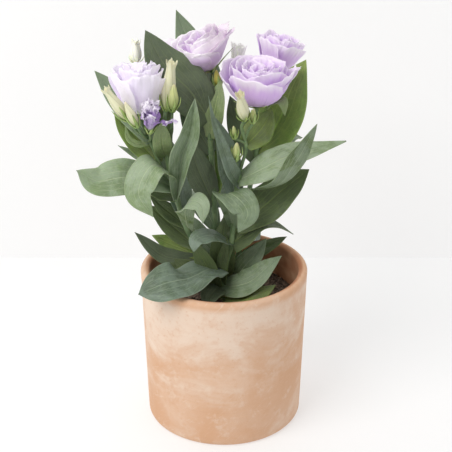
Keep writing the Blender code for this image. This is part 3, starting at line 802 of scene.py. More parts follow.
@dataclass(frozen=True)
class TerracottaFinish(Finish):
    """Fired clay with pale mineral bloom, redder along the lip; the darker red on its inner wall is painted shade, and
    so is the deeper orange towards its sides and foot.
    """

    name: str = "terracotta"
    clay: Colour = (0.68, 0.40, 0.24)
    pale: Colour = (0.75, 0.51, 0.36)
    bloom: Colour = (0.82, 0.67, 0.55)
    # The darker red of the inner wall, painted shade.
    inside: Colour = (0.42, 0.17, 0.08)

    def inputs(self, s: Shading) -> dict[str, object]:
        """Builds the finish.

        Args:
            s: the material's nodes.

        Returns:
            The BSDF's inputs.
        """
        place = s.place()
        x, y, z = s.parts(place)
        across = s.math("SQRT", x * x + y * y)
        middle = z * 0.028 + 0.0672
        within = s.ramp(across - middle, 0.001, -0.002) * s.ramp(z, 0.006, 0.009)
        blotch = s.group("mottle", place=place, coarse=22.0, fine=1500.0, grain=0.2)
        swirl = s.noise(s.joined(x, y, z * 2.2), 15.0, 5.0, 0.62, 0.5)
        band = s.ramp(z + (swirl - 0.5) * 0.15, 0.06, 0.125) * s.ramp(z, 0.1435, 0.136)
        rust = s.noise(s.joined(x + 0.4, y, z), 21.0, 4.0, 0.6, 0.4)
        # Painted shade: more of the deeper orange clay towards the pot's sides, most on the right, and towards its
        # foot.
        painted_side_shade = abs(x + 0.02) * 1.2 - z * 0.7
        scuffs = s.noise(s.joined(x + z, y, (z - x) * 14.0), 60.0, 3.0)
        patina = s.noise(place, 75.0, 6.0, 0.72)
        layers = (
            (band * 0.8, self.bloom),
            (s.ramp(swirl, 0.46, 0.74, 0.55), self.bloom),
            # Orange clay patches, with painted shade towards the sides and foot.
            (s.ramp(rust + painted_side_shade, 0.46, 0.62, 0.6), self.clay),
            (s.ramp(scuffs, 0.6, 0.72, 0.3), self.bloom),
            (s.ramp(s.noise(place, 300.0, 3.0), 0.6, 0.76, 0.5), self.clay),
            (s.ramp(patina, 0.5, 0.7, 0.4), self.clay),
            (s.ramp(patina, 0.46, 0.3, 0.4), self.bloom),
            (s.ramp(s.noise(place, 900.0, 2.0), 0.72, 0.8, 0.3), self.bloom),
            # Painted shade: the inner wall is a darker, redder clay.
            (within, s.mix(blotch["Mask"], self.inside, self.clay)),
        )
        rings = s.noise(s.joined(x * 0.6, y * 0.6, z * 14.0), 30.0, 3.0)
        height = rings * 0.8 + blotch["Grain"] * 0.35
        return {
            "Base Color": s.layered(s.mix(blotch["Mask"], self.clay, self.pale), layers),
            "Normal": s.bump(height, 0.0006, 0.6),
            "Roughness": blotch["Grain"] * 0.15 + 0.78,
        }


@dataclass(frozen=True)
class BackdropFinish(Finish):
    """A plain pale floor and wall, clear from behind."""

    name: str = "backdrop_white"
    white: float = 0.50
    lift: float = 0.475

    def inputs(self, s: Shading) -> dict[str, object]:
        """Builds the finish.

        Args:
            s: the material's nodes.

        Returns:
            The BSDF's inputs.
        """
        tint = s.ramp(s.noise(s.place(), 3.0, 2.0), 0.2, 0.8, self.white, self.white - 0.01)
        behind = Wire(s, s.node("ShaderNodeNewGeometry").outputs["Backfacing"])
        plain = {"Emission Color": (1.0, 1.0, 1.0), "Emission Strength": self.lift, "Roughness": 0.9}
        return plain | {
            "Base Color": s.mix(1.0, (0.0, 0.0, 0.0), s.joined(tint, tint, tint)),
            "Alpha": 1.0 - behind,
        }


@dataclass(frozen=True)
class SoilFinish(Finish):
    """Dark damp compost."""

    name: str = "compost"
    dark: Colour = (0.03, 0.02, 0.014)
    light: Colour = (0.27, 0.195, 0.145)
    speck: Colour = (0.55, 0.47, 0.38)

    def inputs(self, s: Shading) -> dict[str, object]:
        """Builds the finish.

        Args:
            s: the material's nodes.

        Returns:
            The BSDF's inputs.
        """
        blotch = s.group("mottle", place=s.place(), coarse=260.0, fine=2200.0, grain=0.8)
        colour = s.mix(blotch["Mask"], self.dark, self.light)
        colour = s.mix(s.ramp(s.noise(s.place(), 1500.0, 1.0), 0.72, 0.78, 0.8), colour, self.speck)
        return {"Base Color": colour, "Normal": s.bump(blotch["Grain"], 0.0008, 0.9), "Roughness": 0.95}


class LeafTone(Enum):
    """The greens that the plant's leaves show."""

    PALE = LeafFinish("leaf_pale", (0.065, 0.115, 0.025), (0.15, 0.225, 0.06), (0.42, 0.5, 0.31), (0.32, 0.4, 0.27))
    GLAUCOUS = LeafFinish(
        "leaf_glaucous", (0.045, 0.085, 0.018), (0.125, 0.185, 0.05), (0.33, 0.41, 0.25), (0.22, 0.285, 0.19), 0.75,
    )
    BLUE = LeafFinish(
        "leaf_blue", (0.026, 0.048, 0.014), (0.075, 0.115, 0.035), (0.28, 0.35, 0.25), (0.19, 0.25, 0.195), 0.8,
    )
    OLIVE = LeafFinish(
        "leaf_olive", (0.016, 0.032, 0.003), (0.075, 0.115, 0.016), (0.19, 0.25, 0.08), (0.17, 0.22, 0.12), 0.15,
    )
    DARK = LeafFinish(
        "leaf_dark", (0.018, 0.034, 0.009), (0.07, 0.1, 0.032), (0.18, 0.225, 0.11), (0.18, 0.22, 0.15), 0.3,
    )
    SUNLIT = LeafFinish(
        "leaf_sunlit", (0.12, 0.18, 0.02), (0.3, 0.4, 0.06), (0.34, 0.44, 0.12), (0.24, 0.3, 0.14), 0.08, glow=0.3,
    )
    BRIGHT = LeafFinish(
        "leaf_bright", (0.03, 0.055, 0.004), (0.19, 0.26, 0.03), (0.24, 0.32, 0.07), (0.2, 0.25, 0.12), 0.1, glow=0.3,
    )
    LIGHT = LeafFinish(
        "leaf_light", (0.08, 0.13, 0.02), (0.22, 0.31, 0.08), (0.44, 0.53, 0.24), (0.3, 0.37, 0.21), 0.35, glow=0.2,
    )


class PetalTone(Enum):
    """The colours of the blooms."""

    # Painted light: the lilac's foot is paler than its body, to lift the shaded lower outside of its cups.
    LILAC = PetalFinish("petal_lilac", (0.86, 0.67, 0.94), (0.71, 0.46, 0.88), (0.93, 0.83, 0.97), (0.46, 0.24, 0.7))
    # The mauve tone paints shade on the right side of its bloom and paints light on its pale inner petals.
    MAUVE = PetalFinish(
        "petal_mauve", (0.48, 0.32, 0.46), (0.68, 0.46, 0.8), (1.0, 0.95, 1.0), (0.99, 0.88, 1.0), 0.12, 0.6, painted_glow=0.05,
        right_side_shade=0.75,
    )
    # Painted light: the white tone's foot is whiter than its body, to lift the shaded lower outside of the cup.
    WHITE = PetalFinish(
        "petal_pale", (0.97, 0.93, 1.0), (0.93, 0.85, 1.0), (0.91, 0.85, 0.97), (0.7, 0.52, 0.96), 0.3, 0.55, painted_glow=0.07,
    )
    GREENISH = PetalFinish(
        "petal_greenish", (0.7, 0.78, 0.4), (0.97, 0.99, 0.88), (1.0, 1.0, 0.97), (0.92, 0.95, 0.78), 0.2, 0.35,
        painted_glow=0.06,
    )
    WILTED = PetalFinish(
        "petal_wilted", (0.45, 0.42, 0.4), (0.4, 0.24, 0.6), (0.95, 0.88, 1.0), (0.045, 0.01, 0.15), 1.0, 0.74,
    )


class BudTone(Enum):
    """The colours of the buds."""

    CREAM = BudFinish("bud_cream", (0.36, 0.46, 0.12), (0.76, 0.75, 0.52), (0.8, 0.72, 0.54), (0.56, 0.56, 0.3))
    LIME = BudFinish("bud_lime", (0.2, 0.3, 0.06), (0.56, 0.6, 0.26), (0.72, 0.66, 0.4), (0.3, 0.38, 0.12), 0.7)
    YELLOW = BudFinish("bud_yellow", (0.24, 0.3, 0.05), (0.62, 0.56, 0.12), (0.72, 0.6, 0.2), (0.4, 0.36, 0.06), 0.5)
    # Near white, a lit copy of the cream bud: painted light, for the bud behind.
    PALE = BudFinish("bud_pale", (0.88, 0.93, 0.66), (0.97, 0.99, 0.84), (0.98, 0.98, 0.88), (0.92, 0.94, 0.74), 0.4)


STEM_GREEN = StemFinish("stem_green", (0.09, 0.15, 0.06), (0.22, 0.32, 0.15))
STALK_GREEN = StemFinish("stalk_green", (0.16, 0.25, 0.07), (0.36, 0.48, 0.18))
SEPAL_GREEN = StemFinish("sepal_green", (0.20, 0.32, 0.07), (0.44, 0.56, 0.20))
# Sepals lightened to a pale cream-green, painted light, for the two flowers at the back.
SEPAL_PAINTED_LIGHT = StemFinish("sepal_pale", (0.80, 0.86, 0.60), (0.94, 0.96, 0.80))

# The leaves of each green.
TONES: dict[LeafTone, tuple[str, ...]] = {
    LeafTone.PALE: ("right_long", "left_wide", "left_hook", "left_drape"),
    LeafTone.GLAUCOUS: (
        "fan_right", "front_hook", "left_upright", "right_under", "top_high", "front_right_low", "left_thin",
        "left_high", "left_back_high", "back_left_low", "back_lowest", "right_back_high", "low_back",
    ),
    LeafTone.BLUE: (
        "front_upright", "front_left_low", "left_long_low", "front_dark", "left_back_low", "back_behind",
        "right_back_low", "front_back_low",
    ),
    LeafTone.OLIVE: (
        "fan_left", "fan_middle", "sheath_left", "sheath_front", "right_wide", "front_right", "left_dark",
        "left_small", "right_low", "left_shade", "left_filler", "low_near",
    ),
    LeafTone.DARK: ("low_front", "top_wide", "back_dark", "low_far", "back_filler", "right_filler"),
    LeafTone.SUNLIT: ("right_tall", "low_bright"),
    LeafTone.BRIGHT: ("front_round", "back_bright", "front_lowest", "left_mid"),
    LeafTone.LIGHT: ("bract_thin", "back_light", "bract_round", "right_curl"),
}


# The plant, whose points are those of the solids


@dataclass(frozen=True)
class Shoot:
    """A round stem or stalk along its path, up to the flower it carries."""

    radius: float
    path: tuple[Point, ...]
    flower: str = ""


@dataclass(frozen=True)
class Leaf:
    """A leaf: its midrib from the stem's axis to the tip, and the way its upper side faces along it."""

    name: str
    width: float
    path: tuple[Point, ...]
    faces: tuple[Point, ...]
    fold: float = 18.0
    wave: float = 0.0
    peak: float = 0.42
    base: float = 0.42
    point: float = 1.9
    rows: int = 44
    columns: int = 19
    thickness: float = 0.75
    thinning: float = 0.3
    arch: float = 0.10
    flutter: float = 0.055
    buckle: float = 0.07
    rib_depth: float = 0.3
    rib_width: float = 0.06
    rough_edge: float = 0.035

    def share(self, u: float) -> float:
        """How wide the leaf is along its length.

        Args:
            u: the place along it, from 0 to 1.

        Returns:
            The width as a fraction of its largest.
        """
        if u < self.peak:
            return self.base + (1 - self.base) * math.sin(math.pi / 2 * u / self.peak)
        return 1 - ((u - self.peak) / (1 - self.peak)) ** self.point

    def lift(self, u: float, s: float, half: float, fold: float) -> float:
        """How far a point stands above the line from edge to edge.

        Args:
            u: its place along the leaf, from 0 to 1.
            s: its place across, from -1 to 1.
            half: half the leaf's width there, in mm.
            fold: how far each side is raised, in radians.

        Returns:
            The height in mm.
        """
        seed, hand = letters(self.name, 0.37), math.copysign(1.0, s)
        crease = math.sqrt(s * s + 0.004) - 0.063
        swing = math.sin(15 * u + 1.3 * hand + seed) * smooth(u, 0.0, 0.2)
        lift = half * (crease * math.sin(fold) + (self.flutter * swing - self.arch) * s * s)
        lift += self.wave * s * s * math.sin(9 * u + 2.1 * s)
        lift += self.buckle * half * noise.noise(Vector((u * 5.5, s * 1.7, seed)))
        return lift - self.rib_depth * math.exp(-((s / self.rib_width) ** 2)) * smooth(u, 1.0, 0.75)

    def grid(self) -> Rows:
        """Lays out the points of the leaf's middle sheet.

        Returns:
            Rows from the stem to the tip, each from one edge to the other.
        """
        centres = even_curve(self.path, self.rows)
        faces = [vec(face) for face in self.faces]
        seed = letters(self.name, 0.37)
        rows = []
        for i, (centre, tangent) in enumerate(zip(centres, directions(centres))):
            u = i / (self.rows - 1)
            face = curve_point(faces, u) if len(faces) > 1 else faces[0]
            normal = (face - tangent * face.dot(tangent)).normalized()
            side = tangent.cross(normal)
            half = max(self.width / 2 * self.share(u), 0.12)
            fold = math.radians(self.fold) * (1 - 0.4 * u)
            rows.append([])
            for j in range(self.columns):
                s = 2 * j / (self.columns - 1) - 1
                hand = math.copysign(1.0, s)
                edge = 1 + self.rough_edge * s * s * noise.noise(Vector((u * 5.0 + seed, hand, 0.0)))
                out = side * (s * half * edge * math.cos(fold))
                rows[-1].append(centre + out + normal * self.lift(u, s, half, fold))
        return rows

    def build(self, node: str) -> None:
        """Builds and dresses the leaf, thinner towards its edge.

        Args:
            node: the stem that it grows from.
        """
        tone = next(tone for tone, names in TONES.items() if self.name in names)
        draft = Draft()
        shade = letters(self.name, 0.137) % 1.0
        draft.blade(self.grid(), lambda u, s: self.thickness - self.thinning * s * s, shade)
        dress(draft.finish(f"leaf_{self.name}", tone.value.material()), node)


@dataclass(frozen=True)
class Ring:
    """One ring of petals: (radius, height) points from the foot to the rim, measured along the axis."""

    count: int
    turn: float
    width: float
    profile: tuple[tuple[float, float], ...]
    skew: float = 0.16
    ruffle: float = 1.2
    span: float = 360.0
    reach: float = 1.35
    drop: float = 0.3
    close: float = 0.0
    roll: float = 0.0
    pleat: float = 0.3
    rows: int = 28
    columns: int = 49
    bend: float = 1.6
    lobes: tuple[Point, ...] = ((0.012, 4, 1), (0.004, 15, 2), (0.0025, 41, 0))
    ruffles: tuple[Point, ...] = ((0.42, 9, 2.3), (0.24, 21, 1), (0.14, 39, 0))

    def half_angle(self) -> float:
        """How far a petal reaches round the flower to each side.

        Returns:
            The angle in radians.
        """
        if self.span < 360 or self.count == 1:
            return 0.8 * self.width / self.profile[-1][0]
        return min(self.reach * math.pi / self.count, 1.5)

    def petal_point(self, u: float, s: float, angle: float, seed: float) -> tuple[float, float]:
        """Where a point of a petal lies.

        Args:
            u: its place from the foot to the rim, from 0 to 1.
            s: its place across, from -1 to 1.
            angle: the petal's place round the axis, in radians.
            seed: a number that belongs to the petal.

        Returns:
            (distance from the axis, height along it) in mm.
        """
        rim, swell = smooth(u, 0.6, 1.0), 0.7 * self.ruffle * u * u
        along = u * (1 - self.drop * s * s * u + waves(s, seed, self.lobes) * rim)
        r, z, _ = curve_point(flat(self.profile), along)
        r *= (1 + self.skew * s * min(1.0, 1.6 * u)) * (1 - self.close * smooth(u, 0.45, 1.0))
        r += swell * math.sin(3.4 * s + angle * 3)
        z += swell * math.cos(2.7 * s + angle * 5)
        r += self.ruffle * rim * rim * waves(s, seed, self.ruffles) + self.roll * rim * rim
        z += self.ruffle * rim * rim * 0.3 * math.cos(14 * s + seed) - 0.35 * self.roll * rim * rim
        r += self.pleat * math.sin(6.5 * s + seed + 1.4 * u) * math.sin(math.pi * min(0.8 * u, 1.0))
        return r, z

    def grid(self, foot: Vector, axes: Axes, angle: float, layer: int, crumple: float) -> Rows:
        """Lays out one petal round the flower's axis so that it cups.

        Args:
            foot: the flower's foot.
            axes: (side, other side, the way the flower's mouth faces).
            angle: this petal's place round the axis, in radians.
            layer: the ring's number, from the outside.
            crumple: how far the petal is creased, in mm.

        Returns:
            Rows from the petal's foot to its rim.
        """
        seed = angle * 7.3 + layer * 3.1
        rows = []
        for i in range(self.rows):
            u = i / (self.rows - 1)
            most = 0.5 + (self.half_angle() - 0.5) * min(u / 0.4, 1.0)
            most *= 1 - 0.10 * smooth(u, 0.75, 1.0)
            rows.append([])
            for j in range(self.columns):
                s = 2 * j / (self.columns - 1) - 1
                r, z = self.petal_point(u, s, angle, seed)
                point = foot + outward(axes, angle + most * s) * r + axes[2] * z
                for density, size in ((0.075, self.bend), (0.28, crumple), (0.7, 0.4 * crumple)):
                    if size:
                        point += noise.noise_vector(point * density) * (size * u)
                rows[-1].append(point)
        return rows


@dataclass(frozen=True)
class Bud:
    """A closed flower on the end of its stalk: its foot, its tip and its largest radius."""

    name: str
    foot: Point
    tip: Point
    radius: float
    sepal: float
    tone: BudTone = BudTone.CREAM
    ragged: bool = False
    spread: float = 1.1
    sides: int = 40
    steps: int = 40

    def direction(self) -> Vector:
        """The way that the bud grows, as long as the bud."""
        return vec(self.tip) - vec(self.foot)

    def profile(self) -> Profile:
        """(radius, height) that the sepals lie along."""
        shape = ((0.42, 0.0), (0.8, 0.12), (1.0, 0.32), (0.86, 0.55), (0.55, 0.8), (0.3, 0.94), (0.0, 1.0))
        return [(self.radius * r, self.direction().length * z) for r, z in shape]

    def rings(self) -> Profile:
        """The bud's outline.

        Returns:
            (radius, height) from the foot to the twisted point, or round a ragged open end.
        """
        length = self.direction().length
        shape = [(0.42, 0.0), (0.62, 0.05), (0.8, 0.12), (0.94, 0.22), (1.0, 0.34), (0.97, 0.46)]
        if self.ragged:
            shape += [(0.88, 0.58), (0.74, 0.71), (0.63, 0.83), (0.66, 0.92), (0.8, 0.99)]
            shape += [(0.66, 0.96), (0.5, 0.9), (0.25, 0.84), (0.0, 0.82)]
        else:
            shape += [(0.86, 0.57), (0.71, 0.69), (0.55, 0.8), (0.4, 0.89), (0.24, 0.96), (0.0, 1.0)]
        fine = [curve_point(flat(shape), i / self.steps) for i in range(self.steps)]
        return [(max(p.x, 0.02) * self.radius, p.y * length) for p in fine] + [(0.0, shape[-1][1] * length)]

    def wound(self, u: float, angle: float) -> float:
        """The shape of five petals wound over each other.

        Args:
            u: the place along the bud, from 0 to 1.
            angle: the place round it, in radians.

        Returns:
            A factor on the radius.
        """
        part = (5 * angle / (2 * math.pi) + 1.7 * u) % 1.0
        lobe = 0.10 * part - 0.05 + 0.05 * math.sin(math.pi * part)
        return 1 + lobe * smooth(u, 0.0, 0.25) + 0.03 * math.sin(3 * angle + 0.7 * len(self.name))

    def torn(self, u: float, angle: float) -> float:
        """The ragged end of an opening bud.

        Args:
            u: the place along the bud, from 0 to 1.
            angle: the place round it, in radians.

        Returns:
            The height to add, in mm.
        """
        near = smooth(u, 0.55, 0.7) * smooth(u, 0.98, 0.8) if self.ragged else 0.0
        return near * waves(angle, 0.7 * len(self.name), ((1.5, 5, 1), (0.8, 13, 2)))

    def build(self) -> None:
        """Builds and dresses the bud."""
        draft, axes = Draft(), axes_along(self.direction())
        draft.turned(vec(self.foot), axes, self.rings(), self.sides, self.wound, self.torn)
        dress(draft.finish(f"petals_{self.name}", self.tone.value.material()), self.name)


# (radius, height) up the pistil, with the wide green ovary below and the stigma at its end.
PISTIL = ((0.8, 0.0), (2.3, 1.5), (2.9, 4.0), (2.6, 7.0), (1.2, 10.0), (0.8, 13.0), (0.9, 15.5))
PISTIL += ((1.9, 16.6), (2.0, 17.4), (1.2, 18.2), (0.0, 18.4))


@dataclass(frozen=True)
class Bloom:
    """An open flower: its foot, the way its mouth faces, and its rings of petals."""

    name: str
    foot: Point
    axis: Point
    rings: tuple[Ring, ...]
    sepal: float
    tone: PetalTone = PetalTone.LILAC
    slot: str = "petal_lilac"
    crumple: float = 0.0
    spread: float = 1.25
    thickness: float = 0.5
    thinning: float = 0.32
    pistil_sides: int = 20

    def direction(self) -> Vector:
        """The way that the flower's mouth faces."""
        return vec(self.axis)

    def profile(self) -> Profile:
        """(radius, height) that the sepals lie along."""
        return self.rings[0].profile

    def build(self) -> None:
        """Builds and dresses the petals and the pistil in the middle of them."""
        foot, axes, draft, core = vec(self.foot), axes_along(self.axis), Draft(), Draft()
        for layer, ring in enumerate(self.rings):
            depth = layer / max(len(self.rings) - 1, 1)
            for k in range(ring.count):
                angle = math.radians(ring.turn + ring.span * k / ring.count)
                rows = ring.grid(foot, axes, angle, layer, self.crumple)
                tone = (0.37 * k + 0.21 * layer + 0.13) % 1.0
                draft.blade(rows, lambda u, s: self.thickness - self.thinning * u, tone, depth)
        dress(draft.finish(f"petals_{self.name}", self.tone.value.material()), self.name)
        core.turned(foot, axes, PISTIL, self.pistil_sides)
        dress(core.finish(f"pistil_{self.name}", STALK_GREEN.material()), self.name)


STEMS: dict[str, tuple[Shoot, ...]] = {
    "stem_left": (
        Shoot(2.3, ((-8, 0, 79), (-8, 0, 120), (-8, 0, 125), (-15, -1, 151), (-32, -3, 183), (-46, -4, 230))),
        Shoot(1.7, ((-46, -4, 228), (-50, -4, 258), (-51, -5, 280)), "bud_tall"),
        Shoot(1.15, ((-50, -4, 258), (-47, -11, 272), (-44, -16, 286)), "bud_beside"),
        Shoot(1.5, ((-46, -4, 230), (-55, -6, 246), (-61, -7, 264), (-66, -7, 276))),
        Shoot(1.15, ((-65.7, -7, 274), (-69, -8, 284)), "bloom_left"),
        Shoot(1.15, ((-65.3, -7, 273), (-72, -17, 281)), "bud_left"),
        Shoot(1.15, ((-65, -7, 272), (-68, -22, 280)), "bud_left_small"),
        Shoot(1.15, ((-64, -7, 269), (-62, -18, 275)), "bloom_wilted"),
        Shoot(1.15, ((-63, -7, 270), (-68, 10, 287), (-74, 26, 310)), "bud_behind"),
    ),
    "stem_front": (
        Shoot(2.3, ((-1, -2, 79), (-1, -2, 120), (-1, -2, 125), (2, 0, 150), (7, 0, 172), (13, 0, 236))),
        Shoot(1.5, ((13, 0, 235), (16, 0, 247), (19, 0, 258), (18, 0, 268), (15, -6, 281)), "bud_centre"),
        Shoot(1.15, ((18, 0, 268), (21, -2, 277)), "bud_centre_small"),
        Shoot(1.15, ((13, 0, 237), (11, -4, 246)), "bud_green"),
        Shoot(1.15, ((18.5, 0, 264), (14, -3, 268)), "bud_thin"),
    ),
    "stem_back": (
        Shoot(2.3, ((-4, 14, 79), (-4, 14, 120), (-4, 14, 125), (-7, 15, 150), (-9, 17, 209), (-12, 20, 260))),
        Shoot(1.6, ((-12, 20, 258), (-14, 24, 281), (-12, 35, 300)), "bloom_top"),
        Shoot(1.15, ((-13.4, 26.5, 286), (-8, 31, 296)), "bud_yellow"),
    ),
    "stem_right": (
        Shoot(2.3, ((8, 12, 79), (8, 12, 120), (8, 12, 125), (15, 18, 160), (22, 26, 205), (28, 30, 239))),
        Shoot(1.6, ((28, 30, 238), (31, 28, 262), (29, 20, 279)), "bloom_front"),
        Shoot(1.4, ((30.5, 29, 258), (37, 50, 281)), "bloom_right"),
        Shoot(1.15, ((27, 29, 230), (22, 44, 262), (14, 60, 290)), "bloom_small"),
    ),
    "stem_low": (
        Shoot(2.3, ((-16, 9, 79), (-16, 9, 120), (-16, 9, 125), (-19, 9, 138), (-22, 8, 154))),
    ),
}

